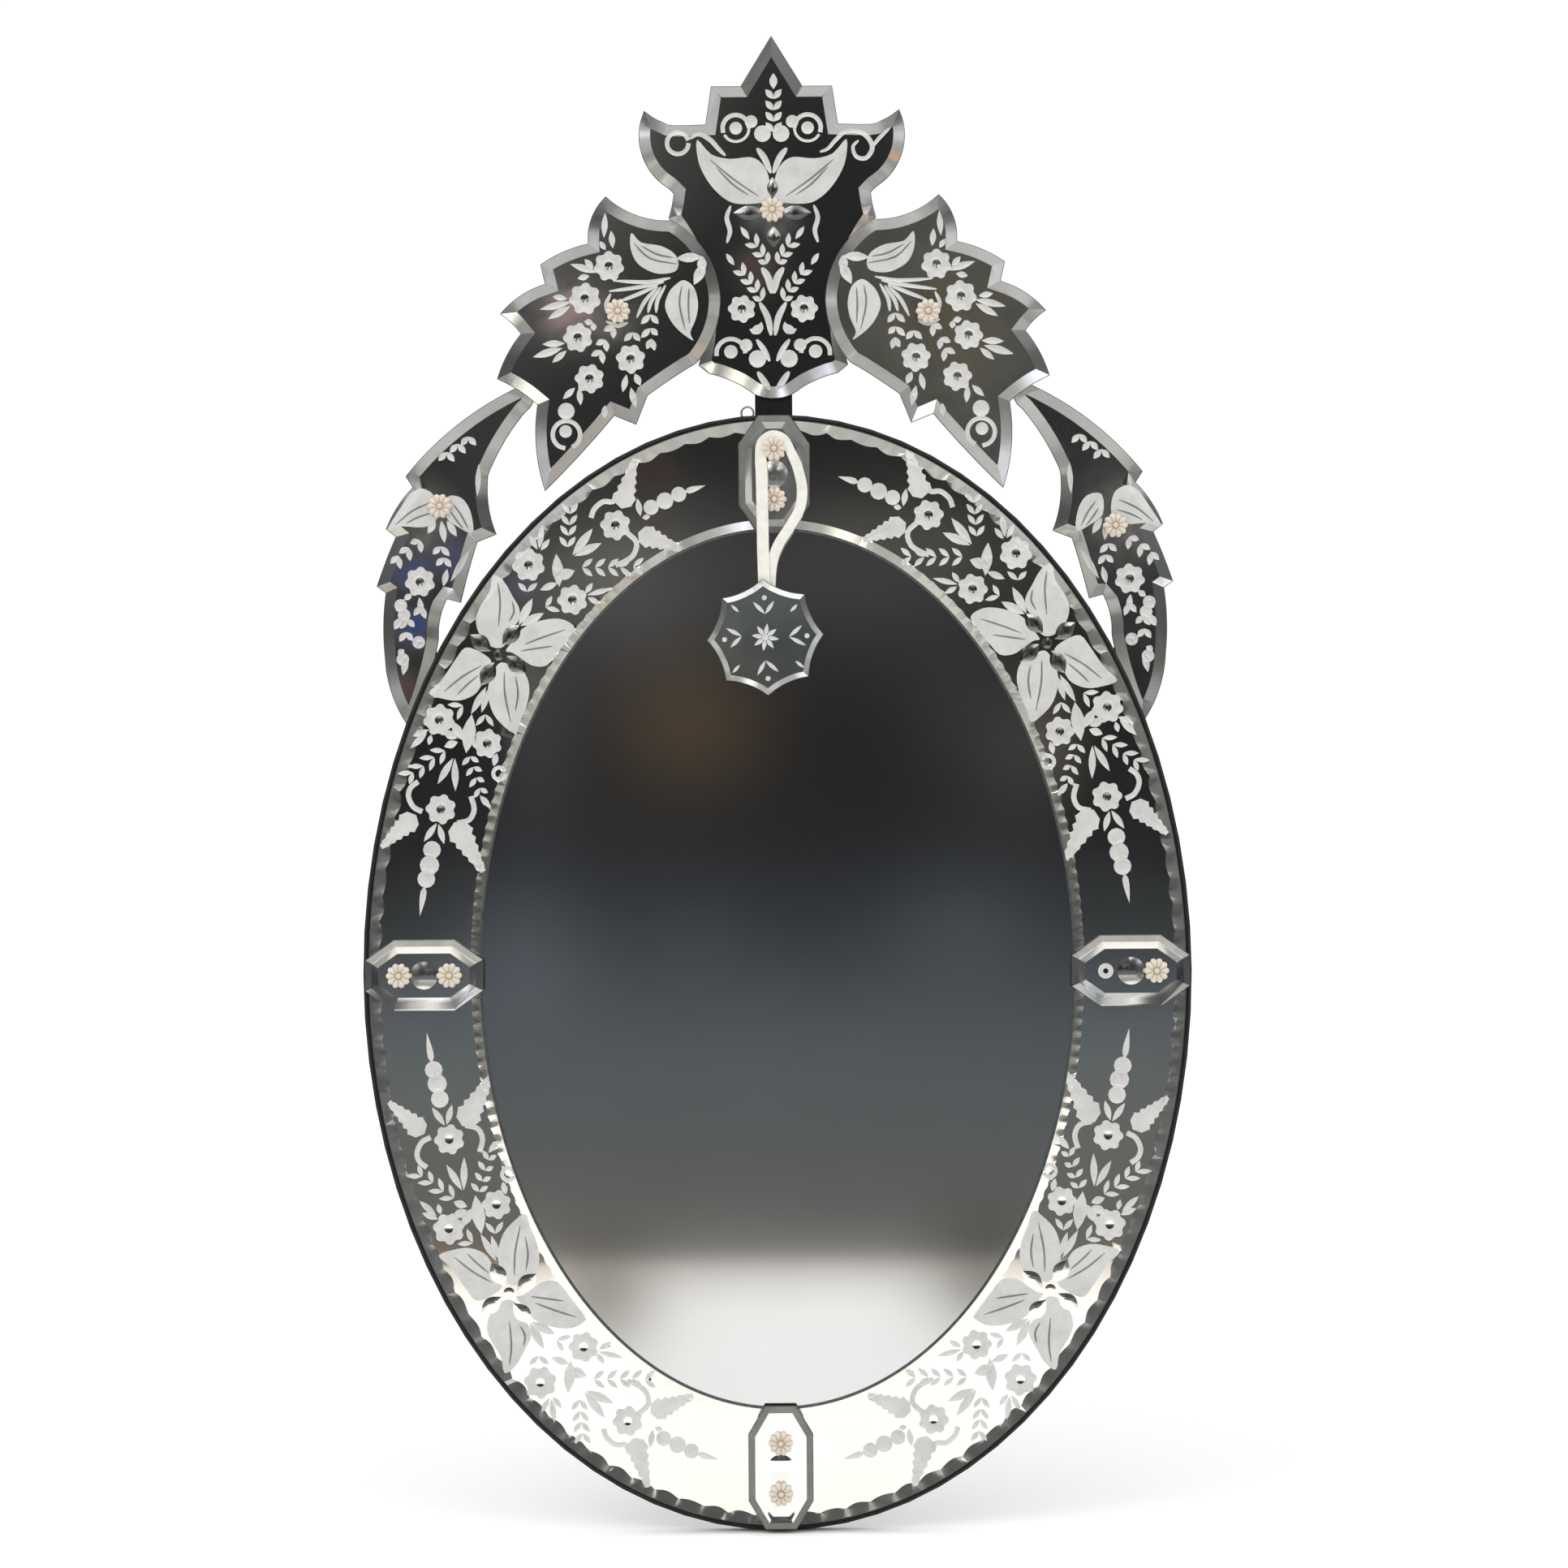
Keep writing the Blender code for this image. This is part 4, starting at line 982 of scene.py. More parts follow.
WING_CHEVRONS = [
    (514, 664, 502, 668, 516, 680), (500, 673, 488, 680, 502, 690), (487, 683, 477, 693, 490, 700),
    (540, 672, 530, 682, 551, 684), (544, 686, 534, 696, 553, 698), (498, 762, 489, 774, 507, 772),
    (496, 778, 488, 790, 505, 789), (515, 746, 506, 758, 521, 762), (548, 555, 538, 566, 558, 567),
    (562, 545, 552, 556, 572, 557), (575, 536, 566, 547, 585, 547),
]
WING_LEAVES = [
    (541, 640, 545, 668, 9), (534, 640, 524, 656, 9), (548, 640, 560, 660, 9), (576, 676, 552, 716, 8),
    (548, 700, 543, 722, 8), (513, 735, 516, 756, 8), (504, 731, 494, 738, 8), (494, 744, 484, 752, 11),
    (490, 760, 482, 775, 10), (510, 792, 517, 796, 9), (494, 800, 486, 806, 9), (497, 808, 492, 832, 9),
    (588, 570, 586, 610, 7),
]
WING_BEADS = [(490, 745, 8), (494, 757, 8), (512, 791, 8), (492, 812, 8)]


def leaf_drawing():
    cuts = each(petal, LEAF_FROSTED) + flowers(LEAF_FLOWERS, 0.2)
    cuts += each(chevron, LEAF_CHEVRONS, 8) + each(leaf, LEAF_LEAVES)
    for line in LEAF_STEMS:
        cuts += stroke(line, 5)
    return cuts + disc(698, 507, 10.5) + scroll(698, 536, 17, 5.5, 95, 330) + disc(697, 532, 8)


def wing_drawing():
    cuts = each(petal, WING_FROSTED) + flowers(WING_FLOWERS, 0.3)
    return cuts + each(chevron, WING_CHEVRONS, 8) + each(leaf, WING_LEAVES) + each(disc, WING_BEADS)


RIGHT_WING_LOWER = 2              # how much lower the right wing's engraving sits, in units


def crest_plates(looks):
    def flipped(u, v):
        return crest_place(2 * CREST_AXIS - u, v)

    def lowered(u, v):
        return flipped(u, v + RIGHT_WING_LOWER)

    for look, node, drawing, place in (
        ("crest", "crest_plate", crest_drawing, crest_place),
        ("leaf_left", "leaf_plate_left", leaf_drawing, crest_place),
        ("leaf_right", "leaf_plate_right", leaf_drawing, flipped),
        ("wing_left", "wing_plate_left", wing_drawing, crest_place),
        ("wing_right", "wing_plate_right", wing_drawing, lowered),
    ):
        bevelled_plate(node + "_engraved", node, CREST_BEVEL, drawing(), place, looks[look])


# Cover plates and pendant

COVER_LENS = 17.0                 # radius of the round cut in a cover plate, in units
STAR_RAYS = 8
PENDANT_CHEVRONS = [
    (941, 762, 926, 747, 952, 746), (941, 819, 931, 837, 957, 833), (912, 789, 893, 779, 898, 803),
    (970, 790, 986, 776, 991, 801),
]
PENDANT_DOTS = [(940, 742, 3.2), (944, 841, 3.2), (891, 793, 3.2), (992, 789, 3.2)]
PENDANT_DASHES = [(904, 755), (976, 755), (905, 829), (983, 824)]
PENDANT_DRAWN_MIDDLE = (941, 790.5)


def local_place(middle):
    """Maps units about a middle to (x, z)."""
    return lambda u, v: (middle[0] + u * UNIT, middle[1] - v * UNIT)


def cover_plates(looks):
    for side in ("top", "left", "right", "bottom"):
        node = "cover_plate_" + side
        low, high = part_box(node)
        middle = ((low.x + high.x) / 2, (low.z + high.z) / 2)
        cuts = bowl(0, 0, COVER_LENS, 2.2)
        if side == "right":
            cuts += disc(-31.2, 0, 9.5, FROST, sides=20, depth=0.5)
            cuts += disc(-31.2, 0, 3.4, EDGE, sides=12, depth=4.0)
        # painted shade on the bevels: along the upper edges of the side covers and all round the top and
        # bottom covers
        shade_band_test = (lambda x, z: z > 0.3) if side in ("left", "right") else (lambda x, z: True)
        bevelled_plate(node + "_cut", node, COVER_BEVEL, cuts, local_place(middle), looks[side],
                       shade_band_test)


def pendant_plate(looks):
    low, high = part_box("pendant")
    middle = ((low.x + high.x) / 2, (low.z + high.z) / 2)
    u0, v0 = PENDANT_DRAWN_MIDDLE
    cuts = []
    for i in range(STAR_RAYS):
        a = 2 * math.pi * i / STAR_RAYS + 0.15
        c, s = math.cos(a), math.sin(a)
        cuts += leaf(3 * c, 3 * s, 17 * c, 17 * s, 5.5, fullest=0.4)
    cuts += disc(0, 0, 4)
    for row in PENDANT_CHEVRONS:
        cuts += chevron(*np.subtract(row, 3 * PENDANT_DRAWN_MIDDLE), 5)
    for u, v, radius in PENDANT_DOTS:
        cuts += disc(u - u0, v - v0, radius, sides=8)
    for u, v in PENDANT_DASHES:
        du, dv = (u - u0) * 0.13, (v - v0) * 0.13
        cuts += leaf(u - u0 - du, v - v0 - dv, u - u0 + du, v - v0 + dv, 4)
    return bevelled_plate("pendant_engraved", "pendant", PENDANT_BEVEL, cuts, local_place(middle),
                          looks)


# Rosettes

ROSETTE_PETALS = 10
ROSETTE_SLICES = 96
ROSETTE_RINGS = 22


def rosette_height(share, angle):
    """Height of a moulded glass flower over its base, as a share of the whole."""
    fold = math.cos(ROSETTE_PETALS * angle)
    if share < 0.24:
        return 0.99 - 0.35 * (share / 0.24) ** 2
    petal_rise = math.sin(math.pi * (share - 0.24) / 0.76) ** 0.8
    return 0.42 + 0.34 * petal_rise * (0.72 + 0.28 * fold) - 0.12 * max(0.0, share - 0.75)


def rosette_mesh(name, x, z, front, back, radius):
    bm = bmesh.new()

    def ring(share, height):
        made = []
        for i in range(ROSETTE_SLICES):
            angle = 2 * math.pi * i / ROSETTE_SLICES
            lobe = 1.0 - 0.15 * share ** 3 * (0.5 - 0.5 * math.cos(ROSETTE_PETALS * angle)) ** 2
            reach = radius * share * lobe
            y = back - (back - front) * height(share, angle)
            made.append(bm.verts.new((x + reach * math.cos(angle), y, z + reach * math.sin(angle))))
        return made

    rings = [ring(r / ROSETTE_RINGS, rosette_height) for r in range(ROSETTE_RINGS + 1)]
    for share, level in ((0.97, 0.22), (0.55, 0.14), (0.5, 0.0)):
        rings.append(ring(share, lambda *_: level))
    for a, b in zip(rings, rings[1:]):
        for i in range(ROSETTE_SLICES):
            j = (i + 1) % ROSETTE_SLICES
            bm.faces.new((a[i], b[i], b[j], a[j]))
    bm.faces.new(rings[-1])
    bmesh.ops.remove_doubles(bm, verts=rings[0], dist=1e-6)
    bmesh.ops.dissolve_degenerate(bm, edges=bm.edges, dist=1e-7)
    bmesh.ops.recalc_face_normals(bm, faces=bm.faces)
    return mesh_from(bm, name)


def rosettes(look):
    for node in sorted(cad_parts):
        if not node.startswith("rosette_"):
            continue
        low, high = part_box(node)
        x, z = (low.x + high.x) / 2, (low.z + high.z) / 2
        radius = (high.x - low.x) / 2
        mesh = rosette_mesh(node + "_flower", x, z, low.y, high.y, radius)
        show(node + "_flower", mesh, [look], [node], angle=50)


# Ribbon, with its route as the part's source has it

RIBBON_WIDTH = 0.009
RIBBON_THICKNESS = 0.0008
RIBBON_HOOK = (0.0, 0.0645)       # x and z of the top plate's outer rosette
COVER_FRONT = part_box("cover_plate_top")[0].y
RIBBON_ROUTE = [
    (-8.0, -109.0, 8.0), (-8.4, -96.0, 8.0), (-8.8, -80.0, 8.0), (-9.0, -62.0, 8.0), (-9.2, -45.0, 8.0),
    (-9.4, -30.0, 7.4), (-9.7, -17.0, 4.6), (-10.2, -6.0, 1.9), (-9.2, 4.6, 1.1), (-1.2, 10.6, 1.1),
    (7.8, 7.4, 1.1), (13.6, -4.0, 1.9), (18.8, -17.0, 4.0), (21.6, -33.0, 5.6), (19.4, -47.0, 6.4),
    (11.6, -61.0, 6.7), (3.2, -74.0, 6.7), (-2.2, -89.0, 6.7), (-4.2, -109.0, 6.7),
]   # millimetres: across, above the rosette, forward of the cover plate
RIBBON_GATHER = ((0.0, 0.38, 0.50, 0.62, 0.9, 1.0), (1.0, 1.0, 0.72, 0.86, 0.9, 1.0))
RIBBON_RUNS = 220                 # rows of the band along its route
RIBBON_COLUMNS = 12               # threads' runs across it


def ribbon_line():
    fine = smooth_line(RIBBON_ROUTE, 24) / 1000
    run = np.r_[0, np.linalg.norm(np.diff(fine, axis=0), axis=1).cumsum()]
    at = np.linspace(0, run[-1], RIBBON_RUNS + 1)
    line = np.stack([np.interp(at, run, fine[:, k]) for k in range(3)], axis=1)
    x, z = RIBBON_HOOK
    return np.stack([x + line[:, 0], COVER_FRONT - line[:, 2], z + line[:, 1]], 1), run[-1]


def ribbon(look):
    """A flat woven tape that hangs from the top rosette and holds the pendant."""
    line, length = ribbon_line()
    tangents = np.gradient(line, axis=0)
    tangents /= np.linalg.norm(tangents, axis=1)[:, None]
    side = np.cross(tangents, (0.0, 1.0, 0.0))
    side /= np.linalg.norm(side, axis=1)[:, None]
    face = np.cross(side, tangents)
    bm = bmesh.new()
    uv = bm.loops.layers.uv.new("weave")
    across = np.linspace(-1.0, 1.0, RIBBON_COLUMNS + 1)
    gathered = np.interp(np.linspace(0.0, 1.0, len(line)), *RIBBON_GATHER)
    rows = []
    for k, (centre, s, f) in enumerate(zip(line, side, face)):
        ripple = 0.00012 * math.sin(k * 0.19) + 0.00006 * math.sin(k * 0.53 + 1.0)
        upper, lower = [], []
        for a in across:
            selvedge = 1.0 if abs(a) > 0.8 else 0.72
            lift = f * (RIBBON_THICKNESS / 2 * selvedge * math.sqrt(max(0.05, 1 - a ** 8)))
            spot = centre + s * a * RIBBON_WIDTH / 2 * gathered[k] + f * ripple * a
            upper.append(bm.verts.new(spot + lift))
            lower.append(bm.verts.new(spot - lift))
        rows.append(upper + lower[::-1])
    around = len(rows[0])
    for k, (a, b) in enumerate(zip(rows, rows[1:])):
        for i in range(around):
            j = (i + 1) % around
            made = bm.faces.new((a[i], a[j], b[j], b[i]))
            places = ((i, k), (i + 1, k), (i + 1, k + 1), (i, k + 1))
            for corner, (column, row) in zip(made.loops, places):
                corner[uv].uv = (column / (RIBBON_COLUMNS + 1) * RIBBON_WIDTH, row / RIBBON_RUNS * length)
    bm.faces.new(rows[0])
    bm.faces.new(rows[-1])
    bmesh.ops.recalc_face_normals(bm, faces=bm.faces)
    mesh = mesh_from(bm, "pendant_ribbon_woven")
    made = show("pendant_ribbon_woven", mesh, [look], ["pendant_ribbon"], angle=60)
    return made, line, length


# Materials: a colour is three numbers, or one for a grey

MIX_FACTOR, MIX_A, MIX_B, MIX_RESULT = 0, 6, 7, 2     # a Mix node's sockets for colours


def toned(colour):
    return colour if isinstance(colour, tuple) else (colour,) * 3


class Nodes:
    """A node tree, and short ways to add to it. An input is a plain value or another's output."""

    def __init__(self, tree):
        self.tree = tree

    def put(self, socket, value):
        if isinstance(value, bpy.types.NodeSocket):
            self.tree.links.new(value, socket)
        elif socket.type == "RGBA":
            socket.default_value = (*toned(value), 1.0)
        else:
            socket.default_value = value

    def add(self, kind, inputs, output=0, **settings):
        """A new node with these inputs; gives one of its outputs."""
        made = self.tree.nodes.new("ShaderNode" + kind)
        for key, value in settings.items():
            setattr(made, key, value)
        for key, value in inputs.items():
            self.put(made.inputs[key], value)
        return made.outputs[output]

    def apart(self, vector):
        """The X, Y and Z of a vector."""
        return self.add("SeparateXYZ", {"Vector": vector}).node.outputs

    def maths(self, operation, *values):
        return self.add("Math", dict(enumerate(values)), operation=operation)

    def nearness(self, across, up):
        """1 where both offsets are nought, and less the larger they are."""
        squares = [self.maths("MULTIPLY", offset, offset) for offset in (across, up)]
        return self.maths("EXPONENT", self.maths("MULTIPLY", self.maths("ADD", *squares), -1.0))

    def fitted(self, value, low, high, kind="LINEAR"):
        """A value's share of the way from low to high."""
        inputs = {"Value": value, "From Min": low, "From Max": high}
        return self.add("MapRange", inputs, "Result", interpolation_type=kind)

    def noise(self, scale, detail, rough, stretch=None):
        """Noise in the object's own metres."""
        place = self.add("TexCoord", {}, "Object")
        if stretch is not None:
            place = self.add("Mapping", {"Vector": place, "Scale": stretch})
        inputs = {"Vector": place, "Scale": scale, "Detail": detail, "Roughness": rough}
        return self.add("TexNoise", inputs, "Fac")

    def ramp(self, source, *stops):
        """A colour ramp: stops are (place, colour)."""
        made = self.add("ValToRGB", {"Fac": source}, "Color")
        elements = made.node.color_ramp.elements
        while len(elements) < len(stops):
            elements.new(0.5)
        for element, (place, colour) in zip(elements, stops):
            element.position = place
            element.color = (*toned(colour), 1.0)
        return made

    def mixed(self, factor, a, b, blend="MIX"):
        inputs = {MIX_FACTOR: factor, MIX_A: a, MIX_B: b}
        return self.add("Mix", inputs, MIX_RESULT, data_type="RGBA", blend_type=blend)

    def bump(self, height, strength, distance, **normal):
        inputs = {"Height": height, "Strength": strength, "Distance": distance, **normal}
        return self.add("Bump", inputs, "Normal")


class Look(Nodes):
    """A material's nodes."""

    def __init__(self, name):
        self.material = bpy.data.materials.new(name)
        self.material.use_nodes = True
        super().__init__(self.material.node_tree)

    def shaded(self, inputs):
        """The material, once its shader has these inputs."""
        shader = self.tree.nodes["Principled BSDF"]
        for key, value in inputs.items():
            self.put(shader.inputs[key], value)
        return self.material


def painted_blot_mask(look, x, z, radius, patchy):
    """A blot about a point of the mirror."""
    here_x, _, here_z = look.apart(look.add("TexCoord", {}, "Object"))
    near = look.nearness(*[
        look.maths("MULTIPLY", look.maths("SUBTRACT", here, middle), 1 / radius)
        for here, middle in ((here_x, x), (here_z, z))
    ])
    if not patchy:
        return near
    return look.maths("MULTIPLY", near, look.ramp(look.noise(55.0, 4.0, 0.6), (0.35, 0.35), (0.6, 1.0)))


def bent(look, wedge, wave):
    """A normal that bends the reflection towards the thick side, as the prism of a ground
    bevel over a flat silvered back does."""
    normal = look.add("NewGeometry", {}, "Normal")
    facing = look.add("VectorMath", {0: normal, 1: (0.0, -1.0, 0.0)}, "Value", operation="DOT_PRODUCT")
    share = look.maths("DIVIDE", -wedge, look.maths("MAXIMUM", facing, 0.3))
    scaled = look.add("VectorMath", {0: normal, "Scale": share}, operation="SCALE")
    added = look.add("VectorMath", {0: scaled, 1: (0.0, -1.0 - wedge, 0.0)}, operation="ADD")
    unit = look.add("VectorMath", {0: added}, operation="NORMALIZE")
    return look.bump(look.noise(45.0, 3.0, 0.5), wave, 0.0015, Normal=unit)


def silvered(name, tint, worn, roughness, wedge=0.0, wave=0.02, haze=0.0, dust=60.0,
             specked=True, spots=()):
    """Silvered glass. Haze is how much of it is dull with dust and tarnished silver. Each spot is
    a painted blot, (x, z, radius, colour, haze), whose colour tints the reflection and whose haze dulls
    it.
    A wedge above 0 makes it a bevel, whose bare face has a weak reflection of its own, the coat."""
    look = Look(name)
    colour = look.ramp(look.noise(14.0, 6.0, 0.62), (0.35, tint), (0.70, worn))
    if specked:
        specks = look.ramp(look.noise(900.0, 2.0, 0.5), (0.20, 0.35), (0.29, 1.0))
        colour = look.mixed(1.0, colour, specks, "MULTIPLY")
    film = look.ramp(look.noise(26.0, 7.0, 0.68), (0.30, 1.0 - 0.6 * haze), (0.75, 1.0 - 1.5 * haze))
    # painted light: each blot tints the silvering's colour and dulls its film about a point
    for x, z, radius, blot_colour, dull in spots:
        near = painted_blot_mask(look, x, z, radius, specked)
        colour = look.mixed(near, colour, blot_colour)
        film = look.mixed(near, film, 1.0 - dull)
    rough = look.ramp(look.noise(dust, 4.0, 0.5), (0.3, roughness * 0.9), (0.8, roughness * 1.1))
    inputs = {"Base Color": colour, "Metallic": film, "Roughness": rough}
    if wedge > 0.0:
        inputs |= {"Coat Weight": 1.0, "Coat Roughness": 0.08, "Normal": bent(look, wedge, wave)}
    elif wave > 0.0:
        inputs["Normal"] = look.bump(look.noise(9.0, 1.0, 0.4), wave, 0.01)
    return look.shaded(inputs)


def frosted(name, light, dark):
    """Glass ground dull by a stone wheel."""
    look = Look(name)
    broad = look.ramp(look.noise(70.0, 5.0, 0.6), (0.32, dark), (0.62, light))
    grain = look.ramp(look.noise(2600.0, 2.0, 0.5), (0.30, 0.86), (0.65, 1.0))
    return look.shaded({
        "Metallic": 0.4, "Roughness": 0.62, "Specular IOR Level": 0.35,
        "Base Color": look.mixed(1.0, broad, grain, "MULTIPLY"),
        "Normal": look.bump(look.noise(1800.0, 3.0, 0.6), 0.25, 0.0004),
    })


def coated(name, roughness, blotches, dark, light, grain, strength, distance):
    """A dull surface: blotches is the noise in its colour, and grain the noise in its height."""
    look = Look(name)
    return look.shaded({
        "Roughness": roughness,
        "Base Color": look.ramp(look.noise(*blotches), (0.3, dark), (0.7, light)),
        "Normal": look.bump(look.noise(*grain), strength, distance),
    })


def glass_edge(name):
    return coated(name, 0.35, (240.0, 3.0, 0.6), (0.022, 0.027, 0.025), (0.070, 0.082, 0.076),
                  (900.0, 3.0, 0.6), 0.3, 0.0004)


def back_paint(name):
    return coated(name, 0.7, (45.0, 6.0, 0.65), (0.028, 0.020, 0.016), (0.075, 0.050, 0.036),
                  (420.0, 4.0, 0.6), 0.35, 0.0006)


def painted_wood(name):
    """Satin black paint over close-grained wood, rubbed at its roughest spots."""
    look = Look(name)
    grain = look.noise(1.0, 5.0, 0.6, stretch=(420.0, 420.0, 26.0))
    return look.shaded({
        "Specular IOR Level": 0.2,
        "Base Color": look.ramp(grain, (0.25, (0.003, 0.003, 0.0035)), (0.75, (0.014, 0.013, 0.012))),
        "Roughness": look.ramp(look.noise(60.0, 4.0, 0.6), (0.3, 0.42), (0.8, 0.66)),
        "Normal": look.bump(grain, 0.35, 0.0006),
    })


def stained_wood(name):
    look = Look(name)
    grain = look.noise(1.0, 6.0, 0.65, stretch=(20.0, 300.0, 300.0))
    return look.shaded({
        "Roughness": 0.72,
        "Base Color": look.ramp(grain, (0.25, (0.030, 0.016, 0.010)), (0.5, (0.085, 0.050, 0.030)),
                                (0.8, (0.150, 0.092, 0.055))),
        "Normal": look.bump(grain, 0.4, 0.0008),
    })


def brushed_steel(name):
    look = Look(name)
    lines = look.noise(1.0, 3.0, 0.6, stretch=(30.0, 900.0, 900.0))
    return look.shaded({
        "Metallic": 1.0,
        "Base Color": look.ramp(lines, (0.3, (0.42, 0.42, 0.41)), (0.7, (0.62, 0.62, 0.61))),
        "Roughness": look.ramp(lines, (0.3, 0.28), (0.7, 0.45)),
        "Normal": look.bump(lines, 0.15, 0.0003),
    })


def moulded_glass(name):
    """Cream glass, browner in its hollows."""
    look = Look(name)
    hollow = look.ramp(look.add("NewGeometry", {}, "Pointiness"), (0.44, (0.44, 0.36, 0.28)),
                       (0.50, (0.62, 0.545, 0.46)), (0.56, (0.74, 0.68, 0.60)))
    veins = look.ramp(look.noise(340.0, 4.0, 0.6), (0.3, (0.88, 0.84, 0.79)), (0.65, 1.0))
    return look.shaded({
        "Roughness": 0.28, "Subsurface Weight": 0.12, "Subsurface Radius": (0.003, 0.002, 0.0015),
        "Base Color": look.mixed(1.0, hollow, veins, "MULTIPLY"),
        "Normal": look.bump(look.noise(700.0, 3.0, 0.5), 0.12, 0.0004),
    })


WARP_PITCH, WEFT_PITCH = 0.00062, 0.00072


def woven_tape(name):
    """Cream cotton tape in a plain weave."""
    look = Look(name)
    across, along, _ = look.apart(look.add("UVMap", {}, "UV", uv_map="weave"))
    threads = look.maths("ADD", *[
        look.maths("SINE", look.maths("MULTIPLY", way, 2 * math.pi / pitch))
        for way, pitch in ((across, WARP_PITCH), (along, WEFT_PITCH))
    ])
    level = look.maths("MULTIPLY_ADD", threads, 0.25, 0.5)
    # painted shade: the threads are darker where the weave dips, by the bump's own height
    colour = look.ramp(level, (0.1, (0.66, 0.64, 0.59)), (0.7, (0.86, 0.85, 0.80)))
    soil = look.ramp(look.noise(120.0, 5.0, 0.6), (0.3, (0.90, 0.87, 0.82)), (0.6, 1.0))
    return look.shaded({
        "Roughness": 0.92, "Sheen Weight": 0.25,
        "Base Color": look.mixed(1.0, colour, soil, "MULTIPLY"),
        "Normal": look.bump(level, 0.5, 0.0003),
    })


BEVEL_WEDGE = 0.53
LENS_WEDGE = 0.20
COVER_LENS_WEDGE = 0.50
FROST_LIGHT, FROST_DARK = (0.655, 0.65, 0.63), (0.56, 0.555, 0.535)


def plate_looks(prefix, tint, worn, roughness, haze=0.0, bevel_haze=None, lens_wedge=LENS_WEDGE,
                dull=0.40, spots=(), bevel_tint=None):
    """The finishes of one plate, in the order of FLAT, BEVEL, FROST, CLEAR, LENS, VEIN, EDGE,
    PAINT and PAINTED_SHADE_BAND. The last is painted shade: a grey band on some bevels, as light as dull
    says."""
    bevel_haze = haze if bevel_haze is None else bevel_haze
    # painted shade: the greys of the band on some bevels
    ground = [(dull * share, dull * share * 0.98, dull * share * 0.90) for share in (1.0, 0.75)]
    edge_tint = tint if bevel_tint is None else bevel_tint
    return [
        silvered(prefix + "_flat", tint, worn, roughness, haze=haze, spots=spots),
        silvered(prefix + "_bevel", edge_tint, worn, roughness * 1.5, wedge=BEVEL_WEDGE, haze=bevel_haze),
        frosted(prefix + "_frost", FROST_LIGHT, FROST_DARK),
        silvered(prefix + "_clear", tint, worn, roughness * 2, haze=haze),
        silvered(prefix + "_lens", tint, worn, roughness, wedge=lens_wedge, haze=haze),
        # painted reflection: the polished veins are dark grey ground glass, for the dark they reflect
        frosted(prefix + "_vein", (0.26, 0.26, 0.25), (0.18, 0.18, 0.175)),
        glass_edge(prefix + "_edge"),
        back_paint(prefix + "_paint"),
        # painted shade: the grey band on some bevels
        frosted(prefix + "_painted_shade", *ground),
    ]


# Blots painted on the silvering, as (u, v, radius, colour, haze) in drawing units: painted reflections of
# coloured things on the border and crest, and painted shade on the centre mirror
BORDER_PAINTED_REFLECTIONS = [
    (640, 722, 17, (0.30, 0.32, 0.62), 0.12), (800, 585, 30, (0.62, 0.30, 0.26), 0.04),
    (812, 655, 16, (0.55, 0.36, 0.26), 0.05),
]
# painted shade: two grey blots that darken the centre mirror's reflection near its lower rim
CENTRE_PAINTED_SHADE = [
    (735, 1605, 80, (0.33, 0.31, 0.285), 0.0), (1215, 1585, 80, (0.30, 0.29, 0.275), 0.0),
]
CREST_PAINTED_REFLECTIONS = {
    "crest": [(938, 330, 26, (0.66, 0.36, 0.34), 0.10), (955, 262, 26, (0.62, 0.64, 0.66), 0.22)],
    "leaf_left": [(703, 383, 34, (0.80, 0.52, 0.48), 0.30), (760, 395, 26, (0.70, 0.58, 0.52), 0.16)],
    "leaf_right": [(1180, 410, 95, (0.62, 0.56, 0.32), 0.12)],
    "wing_left": [(498, 702, 26, (0.12, 0.24, 0.85), 0.17), (556, 688, 24, (0.12, 0.24, 0.85), 0.17),
                  (505, 772, 24, (0.12, 0.24, 0.85), 0.17), (486, 850, 24, (0.60, 0.26, 0.20), 0.16),
                  (520, 640, 34, (0.70, 0.66, 0.58), 0.20)],
    "wing_right": [(1395, 640, 45, (0.74, 0.72, 0.64), 0.20)],
}


def seen_place(u, v):
    return ((u - DRAWN_MIDDLE[0]) * UNIT, OVAL_MIDDLE - (v - DRAWN_MIDDLE[1]) * UNIT)


def painted_blots(spots, place):
    return [(*place(u, v), radius * UNIT, colour, haze) for u, v, radius, colour, haze in spots]


def dress_nodes(names, look):
    for name in names:
        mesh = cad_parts[name].data
        mesh.materials.clear()
        mesh.materials.append(look)


# Floor, surroundings and light

FLOOR_REACH = 1.75                # how far the pale floor runs in front of the mirror
FLOOR_HALF = 5.0
FLOOR_SHADE = (0.56, 0.52, 0.47)  # its far strip, only seen in the glass, with painted shade
FLOOR_SHADE_HALF = (0.84, 0.82, 0.79)
FLOOR_SHADE_END = -1.30
FLOOR_LOW = CAD_BOX[0].z - 0.0006


def make_floor():
    bm = bmesh.new()
    corners = [(-FLOOR_HALF, -FLOOR_REACH), (FLOOR_HALF, -FLOOR_REACH),
               (FLOOR_HALF, FLOOR_HALF), (-FLOOR_HALF, FLOOR_HALF)]
    bm.faces.new([bm.verts.new((x, y, FLOOR_LOW)) for x, y in corners])
    floor = placed("floor", mesh_from(bm, "floor"))
    look = Look("pale_floor")
    colour = look.ramp(look.noise(3.0, 5.0, 0.6), (0.3, 0.975), (0.7, (0.99, 0.99, 0.985)))
    _, y, _ = look.apart(look.add("TexCoord", {}, "Object"))
    # painted shade: the floor darkens towards its far front edge
    shade = look.ramp(look.fitted(y, -FLOOR_REACH, FLOOR_SHADE_END),
                      (0.0, FLOOR_SHADE), (0.5, FLOOR_SHADE_HALF), (1.0, 1.0))
    floor.data.materials.append(look.shaded({
        "Base Color": look.mixed(1.0, colour, shade, "MULTIPLY"), "Roughness": 0.8,
    }))


